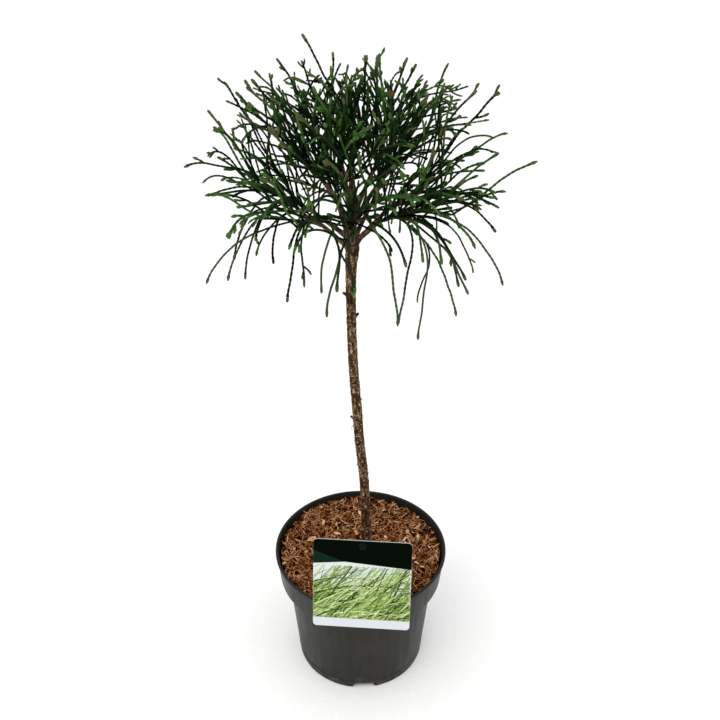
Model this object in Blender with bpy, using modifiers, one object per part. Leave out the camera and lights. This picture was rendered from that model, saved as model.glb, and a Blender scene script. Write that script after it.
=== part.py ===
"""Potted thuja with cord-like foliage, grafted on a bare stem, in metres, +Z up.

The origin is the centre of the pot's flat underside. The front of the plant faces -Y.
"""

import math
from collections import namedtuple

import bmesh
import bpy
import numpy as np
from mathutils import Matrix, Vector

# Shared sizes
GAP = 0.0003
UP = np.array([0.0, 0.0, 1.0])
WELD = 1e-6
SMOOTH_BELOW = 35.0

# Pot: a 19 cm nursery pot of thin moulded plastic
TURN_STEPS = 32
POT_HEIGHT = 0.150
LIP_RADIUS = 0.0950
LIP_DEPTH = 0.0035
COLLAR_TOP_RADIUS = 0.0936
COLLAR_FOOT_RADIUS = 0.0904
COLLAR_FOOT_HEIGHT = 0.1135
WALL_TOP_RADIUS = 0.0820
FOOT_RADIUS = 0.0722
POT_WALL = 0.0016
FOOT_ROUND = 0.0012
FLOOR_RISE = 0.0070
FLOOR_THICKNESS = 0.0025
FOOT_RING_WIDTH = 0.0110
CENTRE_FOOT_RADIUS = 0.0220
NOTCHES = 4
FIRST_NOTCH = 273.0
NOTCH_WIDTH = 0.0260
NOTCH_TOP_WIDTH = 0.0200
NOTCH_HEIGHT = 0.0062
DRAINS = 6
DRAIN_RADIUS = 0.0040
DRAIN_SIDES = 8
DRAIN_CIRCLE = 0.0480
FIRST_DRAIN = 15.0

# Potting mix, topped with bark fibre
MIX_HEIGHT = 0.1375
MOUND_HEIGHT = 0.1400
SEAT_RADIUS = 0.0120
MOUND_RADIUS = 0.0500
MIX_GAP = 0.0005
MIX_STEP = 0.0010

# Trunk: height, sideways place and radius, from the flat cut on the soil to the leader's tip
TRUNK_SIDES = 10
TRUNK_BOW = 0.0030
TRUNK_ROWS = (
    (MOUND_HEIGHT + GAP, 0.0068, 0.0086),
    (0.1435, 0.0068, 0.0072),
    (0.1520, 0.0065, 0.0060),
    (0.1870, 0.0059, 0.0053),
    (0.2430, 0.0036, 0.0050),
    (0.2960, -0.0014, 0.0049),
    (0.3300, -0.0034, 0.0048),
    (0.3700, -0.0064, 0.0047),
    (0.4160, -0.0084, 0.0046),
    (0.4600, -0.0092, 0.0047),
    (0.4920, -0.0090, 0.0053),
    (0.5090, -0.0084, 0.0062),
    (0.5230, -0.0080, 0.0059),
    (0.5340, -0.0080, 0.0043),
    (0.5580, -0.0079, 0.0032),
    (0.5830, -0.0080, 0.0022),
)
SNAGS = ((0.205, 205.0), (0.318, 170.0), (0.438, 20.0), (0.462, 190.0))
SNAG_LENGTH = 0.0045
SNAG_RADIUS = 0.0019
SNAG_SIDES = 5
SNAG_RISE = 35.0
SNAG_END = 0.6

# Boughs
BOUGH_SIDES = 6
BOUGH_ROOT_RADIUS = 0.0024
BOUGH_TIP_RADIUS = 0.0018
BOUGH_POINTS = 3
TRUNK_CLEARANCE = 0.0005
# How a bough strays from the even ring: size, step and start of a sine of its number
ROOT_SWAY = (0.006, 2.6, 0.0)
TURN_SWAY = (6.0, 5.1, 0.0)
RISE_SWAY = (5.0, 3.3, 1.0)
LENGTH_SWAY = (0.12, 1.7, 0.0)

# Crown: every angle below is in degrees, seen from the fork
FORK = np.array([-0.008, 0.0, 0.521])
SEED = 23
LOWEST = -60.0
Tier = namedtuple("Tier", "masses first low high root rise length cords twigs")
TIERS = {
    "skirt": Tier(7, 14.0, LOWEST, 48.0, -0.006, 40.0, 0.042, 20,
                  ((-0.68, 0.10), (0.66, 0.18), (-0.40, 0.72), (0.42, 0.66))),
    "dome": Tier(5, 40.0, 51.0, 71.0, 0.020, 54.0, 0.040, 14,
                 ((-0.66, 0.15), (0.64, 0.25), (0.10, 0.75))),
    "top": Tier(1, 0.0, 74.0, 90.0, 0.062, 90.0, 0.0, 11,
                ((-0.60, 0.35), (0.15, 0.40), (0.70, 0.35))),
}
CROWN_ANGLES = (-45, -25, -10, 5, 24, 35, 50, 65, 80, 90)
CROWN_REACH = (0.095, 0.110, 0.128, 0.134, 0.146, 0.162, 0.170, 0.164, 0.154, 0.150)
UNDERSIDE = 12.0
FRONT_LIFT = 20.0
SPACE_CLEAR = 0.0026
LIMB_CLEAR = 0.0026
# The longest cords, which set the crown's outline: azimuth, reach, angle above the fork
WHIPS = (
    (156, 0.181, 76), (320, 0.166, 84), (19, 0.173, 60), (17, 0.182, 42), (353, 0.177, 27),
    (172, 0.163, 22), (190, 0.137, 22), (202, 0.137, -8), (191, 0.118, -15), (182, 0.106, -21),
    (228, 0.080, 12), (232, 0.070, -18), (250, 0.078, -13), (344, 0.142, -11), (3, 0.131, 2),
    (334, 0.117, -15), (327, 0.119, -23), (313, 0.110, -38), (306, 0.090, -38), (156, 0.178, 46),
    (146, 0.171, 53), (142, 0.170, 61), (162, 0.159, 35), (12, 0.166, 32), (341, 0.138, 24),
)
# Every stem, twig and cord is a cubic curve, with its inner points at these shares of its span
LEAVING_SHARE = 0.38
ARRIVING_SHARE = 0.34

# Stem and twigs: they fan out inside the mass and carry its cords
STEM_SIDES = 4
STEM_POINTS = 6
STEM_AIM = 0.45
STEM_LEAN = 0.3
STEM_MARKS = 7
TWIG_POINTS = 5
TWIG_RADIUS = 0.0015
TWIG_REACH = 0.100
TWIG_SPREAD = (0.92, 1.12)
TWIG_PLACES = (0.5, 2.6)
TWIG_LEAN = 0.8
TWIG_ANGLE_STRAY = 1.5
TWIG_TURN_STRAY = 4.0

# Where a cord forks off: the cost of a place grows with its angle and length away from these
ROOT_PLACES = 13
ROOT_SPACING = 0.0045
ROOT_ANGLE = 32.0
ROOT_LENGTH = 0.062
FALLING_LENGTH = 0.100
LENGTH_SCALE = 0.05
ROOT_CHANCE = 0.95
CROWDED_COST = 2.0

# How a cord curves: lift at its root and droop at its tip, by angle above the fork
LIFT = ((0, 45, 90), (0.40, 0.12, 0.0))
DROOP = ((0, 25, 60, 90), (0.75, 0.42, 0.10, 0.0))
FALLING_LIFT = 0.85
FALLING_DROOP = 1.9
LIFT_STRAY = 0.10
DROOP_STRAY = 0.12
TWIG_PULL = 0.45
LEAVING_STRAY = 0.15
ARRIVING_STRAY = 0.13

# Where the cords' tips go: most near the crown's outline, some low ones falling
TRIES = 40
SIDE_SHARE = 0.97
TOP_ANGLE = 89.0
FALLING_BELOW = 14.0
FALLING_ANGLES = (-24.0, -4.0)
FALLING_CHANCE = (0.06, 0.22)
OUTER_CHANCE = 0.55
OUTER_SHARE = (0.86, 1.03)
INNER_SHARE = (0.55, 0.88)

# Cords
CORD_SIDES = 3
CORD_RADIUS = 0.0014
CORD_ROOT = 0.5
CLUB_RADIUS = 0.0020
CLUB_END = 0.55
CORD_POINTS = 4
MORE_POINTS = 3
POINT_LENGTH = 0.030
TEST_POINTS = 9
CROSS_POINTS = 25
CORD_SPACING = 0.0032
FORK_LENGTH = 0.012

# Label card on a black peg
CARD = 0.1000
CARD_THICKNESS = 0.0008
CARD_CORNER = 0.0040
CARD_CENTRE = (0.0012, -0.0890, 0.1792)
CARD_LEAN = 14.6
CARD_YAW = -4.4
HOLE_DROP = 0.0060
HOLE_RADIUS = 0.0026
CURVE_STEP = 30
PIN_RADIUS = 0.0021
HEAD_RADIUS = 0.0042
HEAD_END = 0.7
HEAD_SIDES = 12
HEAD_THICKNESS = 0.0012
PEG_RADIUS = 0.0024
PEG_SIDES = 6
PEG_BEND = 0.008
PEG_END = 0.8
PEG_FOOT = (0.0030, -0.0800)


def linear(code):
    """The sRGB hex colour as linear red, green, blue and alpha."""
    shares = [int(code[i:i + 2], 16) / 255 for i in (1, 3, 5)]
    return [((s + 0.055) / 1.055) ** 2.4 if s > 0.04045 else s / 12.92 for s in shares] + [1.0]


def make_material(name, code, roughness):
    material = bpy.data.materials.new(name)
    material.use_nodes = True
    shader = material.node_tree.nodes["Principled BSDF"]
    shader.inputs["Base Color"].default_value = linear(code)
    shader.inputs["Roughness"].default_value = roughness
    shader.inputs["Metallic"].default_value = 0.0
    return material


def make_collection(name):
    collection = bpy.data.collections.new(name)
    bpy.context.scene.collection.children.link(collection)
    return collection


def make_object(name, data, collection, material=None):
    piece = bpy.data.objects.new(name, data)
    collection.objects.link(piece)
    if material is not None:
        data.materials.append(material)
    return piece


def evaluated_mesh(piece):
    """A new mesh of the object as its modifiers leave it."""
    graph = bpy.context.evaluated_depsgraph_get()
    return bpy.data.meshes.new_from_object(piece.evaluated_get(graph))


def shade_round(piece):
    """Smooth shading, with the real corners kept sharp."""
    piece.data.shade_smooth()
    piece.data.set_sharp_from_angle(angle=math.radians(SMOOTH_BELOW))


def tidy_mesh(data):
    """Welds loose caps, triangulates and turns every face outwards."""
    shape = bmesh.new()
    shape.from_mesh(data)
    bmesh.ops.remove_doubles(shape, verts=shape.verts, dist=WELD)
    bmesh.ops.triangulate(shape, faces=shape.faces)
    bmesh.ops.recalc_face_normals(shape, faces=shape.faces)
    shape.to_mesh(data)
    shape.free()


def make_section(sides):
    """A polygon of unit radius, which a limb or cord is swept with."""
    data = bpy.data.curves.new(f"section_{sides}", "CURVE")
    data.dimensions = "2D"
    spline = data.splines.new("POLY")
    spline.points.add(sides - 1)
    for index, point in enumerate(spline.points):
        turn = 2 * math.pi * index / sides
        point.co = (math.cos(turn), math.sin(turn), 0.0, 1.0)
    spline.use_cyclic_u = True
    section = make_object(data.name, data, guides)
    section.hide_render = True
    return section


def make_tube(name, points, radii, section, collection, material=None):
    """A closed tapering tube through the points, made a mesh."""
    data = bpy.data.curves.new(name, "CURVE")
    data.dimensions = "3D"
    spline = data.splines.new("POLY")
    spline.points.add(len(points) - 1)
    for point, place, radius in zip(spline.points, points, radii):
        point.co = (*place, 1.0)
        point.radius = radius
    data.bevel_mode = "OBJECT"
    data.bevel_object = section
    data.use_fill_caps = True
    curve = make_object(name, data, collection)
    bpy.context.view_layer.update()
    mesh = evaluated_mesh(curve)
    place = curve.matrix_world.copy()
    bpy.data.objects.remove(curve)
    tidy_mesh(mesh)
    mesh.materials.clear()
    tube = make_object(name, mesh, collection, material)
    tube.matrix_world = place
    shade_round(tube)
    return tube


def make_turned(name, profile, collection, material):
    """A turned solid: the profile runs down its outer side and ends on the axis."""
    data = bpy.data.meshes.new(name)
    edges = [(i, i + 1) for i in range(len(profile) - 1)]
    data.from_pydata([(radius, 0.0, height) for radius, height in profile], edges, [])
    piece = make_object(name, data, collection, material)
    screw = piece.modifiers.new("turn", "SCREW")
    screw.steps = TURN_STEPS
    screw.render_steps = TURN_STEPS
    screw.use_merge_vertices = True
    screw.merge_threshold = 10 * WELD
    apply_modifiers(piece)
    shade_round(piece)
    return piece


def add_boolean(piece, operation, others, solver="EXACT"):
    """A Boolean with one object, or with every object of a collection."""
    cut = piece.modifiers.new(operation.lower(), "BOOLEAN")
    cut.operation = operation
    cut.solver = solver
    if isinstance(others, bpy.types.Collection):
        cut.operand_type = "COLLECTION"
        cut.collection = others
    else:
        cut.object = others


def apply_modifiers(piece):
    bpy.context.view_layer.update()
    mesh = evaluated_mesh(piece)
    piece.modifiers.clear()
    piece.data = mesh


def join_all(piece, parts):
    """One union of the piece with the collection's objects, which are then removed."""
    add_boolean(piece, "UNION", parts, "MANIFOLD")
    apply_modifiers(piece)
    for part in list(parts.objects):
        bpy.data.objects.remove(part)
    bpy.data.collections.remove(parts)


def make_pot(material):
    """The pot: collar, tapering wall, notched foot ring and a raised floor on a centre foot."""
    floor_top = FLOOR_RISE + FLOOR_THICKNESS
    ring_inside = FOOT_RADIUS - FOOT_RING_WIDTH
    profile = [
        (0.0, floor_top),
        (wall_radius(floor_top) - POT_WALL, floor_top),
        (WALL_TOP_RADIUS - POT_WALL, COLLAR_FOOT_HEIGHT + POT_WALL),
        (COLLAR_FOOT_RADIUS - POT_WALL, COLLAR_FOOT_HEIGHT + 2 * POT_WALL),
        (COLLAR_TOP_RADIUS - POT_WALL, POT_HEIGHT),
        (LIP_RADIUS - FOOT_ROUND / 2, POT_HEIGHT),
        (LIP_RADIUS, POT_HEIGHT - FOOT_ROUND / 2),
        (LIP_RADIUS, POT_HEIGHT - LIP_DEPTH),
        (COLLAR_TOP_RADIUS, POT_HEIGHT - LIP_DEPTH - FOOT_ROUND / 2),
        (COLLAR_FOOT_RADIUS, COLLAR_FOOT_HEIGHT),
        (WALL_TOP_RADIUS, COLLAR_FOOT_HEIGHT - FOOT_ROUND),
        (FOOT_RADIUS, FOOT_ROUND),
        (FOOT_RADIUS - FOOT_ROUND, 0.0),
        (ring_inside, 0.0),
        (ring_inside - FOOT_ROUND, FLOOR_RISE),
        (CENTRE_FOOT_RADIUS + FOOT_ROUND, FLOOR_RISE),
        (CENTRE_FOOT_RADIUS, 0.0),
        (0.0, 0.0),
    ]
    pot = make_turned("pot", profile, plant, material)
    for index in range(NOTCHES):
        add_boolean(pot, "DIFFERENCE", make_notch(index))
    for index in range(DRAINS):
        add_boolean(pot, "DIFFERENCE", make_drain(index))


def wall_radius(height):
    """The radius of the pot's outer wall below the collar."""
    share = (height - FOOT_ROUND) / (COLLAR_FOOT_HEIGHT - 2 * FOOT_ROUND)
    return FOOT_RADIUS + (WALL_TOP_RADIUS - FOOT_RADIUS) * share


def make_notch(index):
    """A cutter with sloping sides, through the foot ring."""
    turn = math.radians(FIRST_NOTCH + 360 * index / NOTCHES)
    shape = bmesh.new()
    bmesh.ops.create_cube(shape, size=1.0)
    for vertex in shape.verts:
        high = vertex.co.z > 0
        width = NOTCH_TOP_WIDTH if high else 2 * NOTCH_WIDTH - NOTCH_TOP_WIDTH
        vertex.co.x *= 3 * FOOT_RING_WIDTH
        vertex.co.y *= width
        vertex.co.z = NOTCH_HEIGHT if high else -NOTCH_HEIGHT
    data = bpy.data.meshes.new(f"notch_{index + 1}")
    shape.to_mesh(data)
    shape.free()
    notch = make_object(data.name, data, cutters)
    notch.location = (FOOT_RADIUS * math.cos(turn), FOOT_RADIUS * math.sin(turn), 0.0)
    notch.rotation_euler.z = turn
    hide(notch)
    return notch


def make_drain(index):
    """A cutter for one of the round holes in the floor."""
    turn = math.radians(FIRST_DRAIN + 360 * index / DRAINS)
    middle = FLOOR_RISE + FLOOR_THICKNESS / 2
    depth = 4 * FLOOR_THICKNESS
    name = f"drain_{index + 1}"
    drain = make_cylinder(name, DRAIN_RADIUS, DRAIN_RADIUS, depth, DRAIN_SIDES, cutters)
    drain.location = (DRAIN_CIRCLE * math.cos(turn), DRAIN_CIRCLE * math.sin(turn), middle)
    hide(drain)
    return drain


def hide(cutter):
    cutter.hide_render = True
    cutter.display_type = "WIRE"


def make_cylinder(name, radius, top_radius, depth, sides, collection):
    """A short upright cylinder or cone, centred on its origin."""
    shape = bmesh.new()
    radii = {"radius1": radius, "radius2": top_radius}
    bmesh.ops.create_cone(shape, cap_ends=True, segments=sides, depth=depth, **radii)
    data = bpy.data.meshes.new(name)
    shape.to_mesh(data)
    shape.free()
    return make_object(name, data, collection)


def make_mix(material):
    """The filling: it follows the pot's inside and mounds a little round the trunk."""
    floor = FLOOR_RISE + FLOOR_THICKNESS + MIX_GAP
    inside = POT_WALL + MIX_GAP
    slope = (COLLAR_TOP_RADIUS - COLLAR_FOOT_RADIUS) / (POT_HEIGHT - COLLAR_FOOT_HEIGHT)
    step = COLLAR_FOOT_HEIGHT + 3 * POT_WALL
    brim = COLLAR_FOOT_RADIUS + slope * (MIX_HEIGHT - COLLAR_FOOT_HEIGHT) - inside
    profile = [
        (0.0, MOUND_HEIGHT),
        (SEAT_RADIUS, MOUND_HEIGHT),
        (MOUND_RADIUS, MIX_HEIGHT),
        (brim - MIX_STEP, MIX_HEIGHT),
        (COLLAR_FOOT_RADIUS - inside - MIX_STEP, step),
        (WALL_TOP_RADIUS - inside, COLLAR_FOOT_HEIGHT + POT_WALL),
        (wall_radius(floor) - inside, floor),
        (0.0, floor),
    ]
    make_turned("potting_mix", profile, plant, material)


def trunk_line():
    """The trunk's centre line, upright at its foot and then bowed towards the back, and radii."""
    heights, sideways, radii = (np.array(column) for column in zip(*TRUNK_ROWS))
    share = (heights - heights[1]) / (FORK[2] - heights[1])
    bow = TRUNK_BOW * np.sin(math.pi * np.clip(share, 0, 1))
    return np.stack([sideways, bow, heights], axis=1), radii


def make_trunk(material):
    """The trunk with its flare, graft swelling and leader, and the cut stubs of old side twigs."""
    points, radii = trunk_line()
    trunk = make_tube("trunk", points, radii, sections[TRUNK_SIDES], plant, material)
    snags = make_collection("snags")
    for index, (height, azimuth) in enumerate(SNAGS):
        middle = np.array([np.interp(height, points[:, 2], points[:, axis]) for axis in range(3)])
        bark = np.interp(height, points[:, 2], radii)
        ends = [middle, middle + ray(azimuth, SNAG_RISE) * (bark + SNAG_LENGTH)]
        taper = [SNAG_RADIUS, SNAG_RADIUS * SNAG_END]
        make_tube(f"snag_{index + 1}", ends, taper, sections[SNAG_SIDES], snags)
    join_all(trunk, snags)


def make_trunk_cutter():
    """The trunk's shape and a little more, which the boughs are cut back to."""
    points, radii = trunk_line()
    wide = radii + TRUNK_CLEARANCE
    cutter = make_tube("trunk_clearance", points, wide, sections[TRUNK_SIDES], cutters)
    hide(cutter)
    return cutter


def make_bough(name, tier, index, cutter, material):
    """One tapering limb, cut clear of the trunk it grows from."""
    root, tip, out = bough_line(tier, index)
    points = np.linspace(root, tip, BOUGH_POINTS)
    radii = np.linspace(BOUGH_ROOT_RADIUS, BOUGH_TIP_RADIUS, BOUGH_POINTS)
    bough = make_tube(name, points, radii, sections[BOUGH_SIDES], plant, material)
    add_boolean(bough, "DIFFERENCE", cutter)


def unit(vector):
    return vector / np.linalg.norm(vector, axis=-1, keepdims=True)


def ray(azimuth, angle):
    """The unit direction at this azimuth and this angle above the level, in degrees."""
    turn, rise = math.radians(azimuth), math.radians(angle)
    level = math.cos(rise)
    return np.array([level * math.cos(turn), level * math.sin(turn), math.sin(rise)])


def arc(start, end, leaving, arriving):
    """The four control points of a cubic curve with these directions at its ends."""
    span = np.linalg.norm(end - start)
    first = start + unit(leaving) * span * LEAVING_SHARE
    last = end - unit(arriving) * span * ARRIVING_SHARE
    return np.array([start, first, last, end])


def along(curve, count):
    """Points along the cubic curve."""
    t = np.linspace(0.0, 1.0, count)[:, None]
    return ((1 - t) ** 3 * curve[0] + 3 * t * (1 - t) ** 2 * curve[1]
            + 3 * t * t * (1 - t) * curve[2] + t ** 3 * curve[3])


def azimuth_of(tier, index):
    return tier.first + 360.0 * index / tier.masses


def half_width(tier):
    return 180.0 / tier.masses if tier.masses > 1 else 180.0


def lowest_angle(tier, azimuth):
    """The crown's lower side, which lifts towards the front."""
    frontness = max(0.0, -math.sin(math.radians(azimuth)))
    return max(tier.low, UNDERSIDE + FRONT_LIFT * frontness ** 2)


def in_space(points, tier, azimuth):
    """Whether the points keep to the mass's wedge between two cones about the fork."""
    offset = points - FORK
    level = np.hypot(offset[:, 0], offset[:, 1])
    far = np.hypot(level, offset[:, 2])
    angle = np.arctan2(offset[:, 2], level)
    kept = np.ones(len(points), bool)
    if tier.low > LOWEST:
        kept &= far * np.sin(angle - math.radians(tier.low)) > SPACE_CLEAR
    if tier.high < 90:
        kept &= far * np.sin(math.radians(tier.high) - angle) > SPACE_CLEAR
    if tier.masses > 1:
        turn = np.arctan2(offset[:, 1], offset[:, 0]) - math.radians(azimuth)
        aside = np.abs((turn + math.pi) % (2 * math.pi) - math.pi)
        kept &= level * np.sin(np.clip(math.pi / tier.masses - aside, -1.5, 1.5)) > SPACE_CLEAR
    return kept.all()


def clear_of_limbs(points, limbs):
    """Whether the points stay off every limb, each a tapering rod."""
    for start, end, root_radius, tip_radius in limbs:
        rod = end - start
        share = np.clip((points - start) @ rod / (rod @ rod), 0, 1)
        gap = np.linalg.norm(points - start - share[:, None] * rod, axis=1)
        if (gap - root_radius - (tip_radius - root_radius) * share).min() < LIMB_CLEAR:
            return False
    return True


def clear_of_cords(curve, kept):
    """Whether the cord reaches past its fork and crosses none of those grown before it."""
    points = along(curve, CROSS_POINTS)
    free = points[np.linalg.norm(points - points[0], axis=1) > FORK_LENGTH]
    if len(free) == 0:
        return False
    for other in kept:
        apart = np.linalg.norm(free[:, None] - along(other, CROSS_POINTS)[None], axis=2)
        if apart.min() < CORD_SPACING:
            return False
    return True


def sway(index, size, step, start):
    return size * math.sin(step * index + start)


def bough_line(tier, index):
    """A bough's root on the trunk's line, its tip and its direction."""
    if tier.length == 0:
        leader = FORK + UP * tier.root
        return leader, leader, UP
    root = FORK + UP * (tier.root + sway(index, *ROOT_SWAY))
    turn = azimuth_of(tier, index) + sway(index, *TURN_SWAY)
    out = ray(turn, tier.rise + sway(index, *RISE_SWAY))
    return root, root + out * tier.length * (1 + sway(index, *LENGTH_SWAY)), out


def all_limbs():
    """Trunk and boughs as rods, for the cords to keep clear of."""
    points, radii = trunk_line()
    limbs = list(zip(points[:-1], points[1:], radii[:-1], radii[1:]))
    for tier in TIERS.values():
        if tier.length > 0:
            lines = [bough_line(tier, index) for index in range(tier.masses)]
            limbs += [(root, tip, BOUGH_ROOT_RADIUS, BOUGH_TIP_RADIUS) for root, tip, out in lines]
    return limbs


def grow_twigs(tier, azimuth, tip, out, rng):
    """The stem that carries the bough on, and the twigs that fan out from it."""
    bottom = lowest_angle(tier, azimuth)
    middle = bottom + STEM_AIM * (tier.high - bottom) if tier.masses > 1 else 90.0
    end = FORK + ray(azimuth, middle) * TWIG_REACH
    start = tip + out * GAP
    stem = arc(start, end, out, end - start + STEM_LEAN * np.linalg.norm(end - start) * out)
    marks = along(stem, STEM_MARKS)
    twigs = [stem]
    for side, height in tier.twigs:
        angle = bottom + height * (tier.high - bottom)
        angle += rng.uniform(-TWIG_ANGLE_STRAY, TWIG_ANGLE_STRAY)
        turn = azimuth + side * half_width(tier) + rng.uniform(-TWIG_TURN_STRAY, TWIG_TURN_STRAY)
        end = FORK + ray(turn, angle) * TWIG_REACH * rng.uniform(*TWIG_SPREAD)
        place = rng.uniform(*TWIG_PLACES)
        first = int(place)
        stride = marks[first + 1] - marks[first]
        start = marks[first] + stride * (place - first)
        twigs.append(arc(start, end, unit(stride) * TWIG_LEAN + unit(end - start), end - start))
    return twigs


def choose_root(goal, twigs, taken, falling, rng):
    """The free point of the twigs from which a cord to the goal forks off at an acute angle."""
    best_cost = math.inf
    for twig in twigs:
        points = along(twig, ROOT_PLACES)
        heads = unit(np.gradient(points, axis=0))
        way = goal - points
        turn = np.arccos(np.clip((unit(way) * heads).sum(1), -1, 1))
        length = np.linalg.norm(way, axis=1)
        wanted = FALLING_LENGTH if falling else ROOT_LENGTH
        cost = np.abs(turn - math.radians(ROOT_ANGLE)) + np.abs(length - wanted) / LENGTH_SCALE
        cost += rng.uniform(0, ROOT_CHANCE, len(points))
        for root_taken in taken:
            cost[np.linalg.norm(points - root_taken, axis=1) < ROOT_SPACING] += CROWDED_COST
        cost[0] = math.inf
        chosen = int(np.argmin(cost))
        if cost[chosen] < best_cost:
            best_cost, root, head = cost[chosen], points[chosen], heads[chosen]
    return root, head


def grow_cord(goal, angle, falling, twigs, taken, rng):
    """One cord: it leaves its twig upwards and arches over towards its tip."""
    root, head = choose_root(goal, twigs, taken, falling, rng)
    way = unit(goal - root)
    lift = FALLING_LIFT if falling else np.interp(angle, *LIFT)
    droop = FALLING_DROOP if falling else np.interp(angle, *DROOP)
    lift += rng.normal(0, LIFT_STRAY)
    droop += rng.normal(0, DROOP_STRAY)
    leaving = way + UP * lift + head * TWIG_PULL + rng.normal(0, LEAVING_STRAY, 3)
    arriving = way - UP * droop + rng.normal(0, ARRIVING_STRAY, 3)
    return arc(root, goal, leaving, arriving)


def grow_mass(tier, index, number, limbs):
    """The twigs and cords of one mass, by a seeded rule."""
    rng = np.random.default_rng([SEED, number])
    azimuth = azimuth_of(tier, index)
    half = half_width(tier)
    root, tip, out = bough_line(tier, index)
    twigs = grow_twigs(tier, azimuth, tip, out, rng)
    cords = []

    def keep(goal, angle, falling):
        taken = [cord[0] for cord in cords]
        curve = grow_cord(goal, angle, falling, twigs, taken, rng)
        points = along(curve, TEST_POINTS)[1:]
        if not (in_space(points, tier, azimuth) and clear_of_limbs(points, limbs)):
            return False
        if not clear_of_cords(curve, twigs + cords):
            return False
        cords.append(curve)
        return True

    for turn, reach, angle in WHIPS:
        aside = abs((turn - azimuth + 180) % 360 - 180)
        if aside < half and tier.low < angle <= tier.high:
            goal = FORK + ray(turn, angle) * reach
            for attempt in range(TRIES):
                if keep(goal, angle, angle < FALLING_BELOW):
                    break
    for attempt in range(tier.cords * TRIES):
        if len(cords) >= tier.cords:
            break
        turn = azimuth + half * rng.uniform(-SIDE_SHARE, SIDE_SHARE)
        sideways = math.cos(math.radians(turn)) ** 2
        chance = FALLING_CHANCE[0] + FALLING_CHANCE[1] * sideways
        falling = tier.low < 0 and rng.random() < chance
        if falling:
            angle = rng.uniform(*FALLING_ANGLES)
        else:
            angle = rng.uniform(lowest_angle(tier, turn), min(tier.high, TOP_ANGLE))
        outer = rng.random() < OUTER_CHANCE
        share = rng.uniform(*OUTER_SHARE) if outer else rng.uniform(*INNER_SHARE)
        goal = FORK + ray(turn, angle) * np.interp(angle, CROWN_ANGLES, CROWN_REACH) * share
        keep(goal, angle, falling)
    return twigs, cords


def cord_radii(count):
    """Slim at the root, which sinks into the twig, then even, with a club before the tip."""
    radii = np.full(count, CORD_RADIUS)
    radii[0] = CORD_RADIUS * CORD_ROOT
    radii[-2:] = CLUB_RADIUS, CLUB_RADIUS * CLUB_END
    return radii


def make_mass(name, tier, index, number, limbs, material):
    """One mass of foliage: its stem, twigs and cords fused into one solid."""
    twigs, cords = grow_mass(tier, index, number, limbs)
    parts = make_collection(f"{name}_parts")
    radii = np.linspace(BOUGH_TIP_RADIUS, TWIG_RADIUS, STEM_POINTS)
    line = along(twigs[0], STEM_POINTS)
    stem = make_tube(name, line, radii, sections[STEM_SIDES], plant, material)
    radii = np.linspace(TWIG_RADIUS, CORD_RADIUS, TWIG_POINTS)
    for twig in twigs[1:]:
        make_tube("twig", along(twig, TWIG_POINTS), radii, sections[CORD_SIDES], parts)
    for cord in cords:
        length = np.linalg.norm(np.diff(along(cord, TEST_POINTS), axis=0), axis=1).sum()
        count = CORD_POINTS + min(MORE_POINTS, int(length / POINT_LENGTH))
        make_tube("cord", along(cord, count), cord_radii(count), sections[CORD_SIDES], parts)
    join_all(stem, parts)
    shade_round(stem)


def make_crown(bark, leaves):
    """Every bough with the mass that it carries, and the mass on the leader."""
    cutter = make_trunk_cutter()
    limbs = all_limbs()
    number = 0
    for label, tier in TIERS.items():
        for index in range(tier.masses):
            number += 1
            name = f"{label}_{index + 1}" if tier.masses > 1 else label
            if tier.length > 0:
                make_bough(f"bough_{name}", tier, index, cutter, bark)
            make_mass(f"foliage_{name}", tier, index, number, limbs, leaves)


def make_card(material):
    """The label: a square card with round corners and a hanging hole, leaning on the pot's lip."""
    data = bpy.data.curves.new("label", "CURVE")
    data.dimensions = "2D"
    data.fill_mode = "BOTH"
    data.extrude = CARD_THICKNESS / 2
    inset = CARD / 2 - CARD_CORNER
    corners = []
    for quarter, (side, end) in enumerate(((1, 1), (-1, 1), (-1, -1), (1, -1))):
        for degrees in range(90 * quarter, 90 * quarter + 91, CURVE_STEP):
            turn = math.radians(degrees)
            corners.append((side * inset + CARD_CORNER * math.cos(turn),
                            end * inset + CARD_CORNER * math.sin(turn)))
    hole = []
    for degrees in range(0, 360, CURVE_STEP):
        turn = math.radians(degrees)
        hole.append((HOLE_RADIUS * math.cos(turn), CARD / 2 - HOLE_DROP + HOLE_RADIUS * math.sin(turn)))
    for outline in (corners, hole):
        spline = data.splines.new("POLY")
        spline.points.add(len(outline) - 1)
        for point, (x, y) in zip(spline.points, outline):
            point.co = (x, y, 0.0, 1.0)
        spline.use_cyclic_u = True
    card = make_object("label", data, plant, material)
    card.location = CARD_CENTRE
    card.rotation_euler = (math.radians(90 - CARD_LEAN), 0.0, math.radians(CARD_YAW))
    return card


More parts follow.
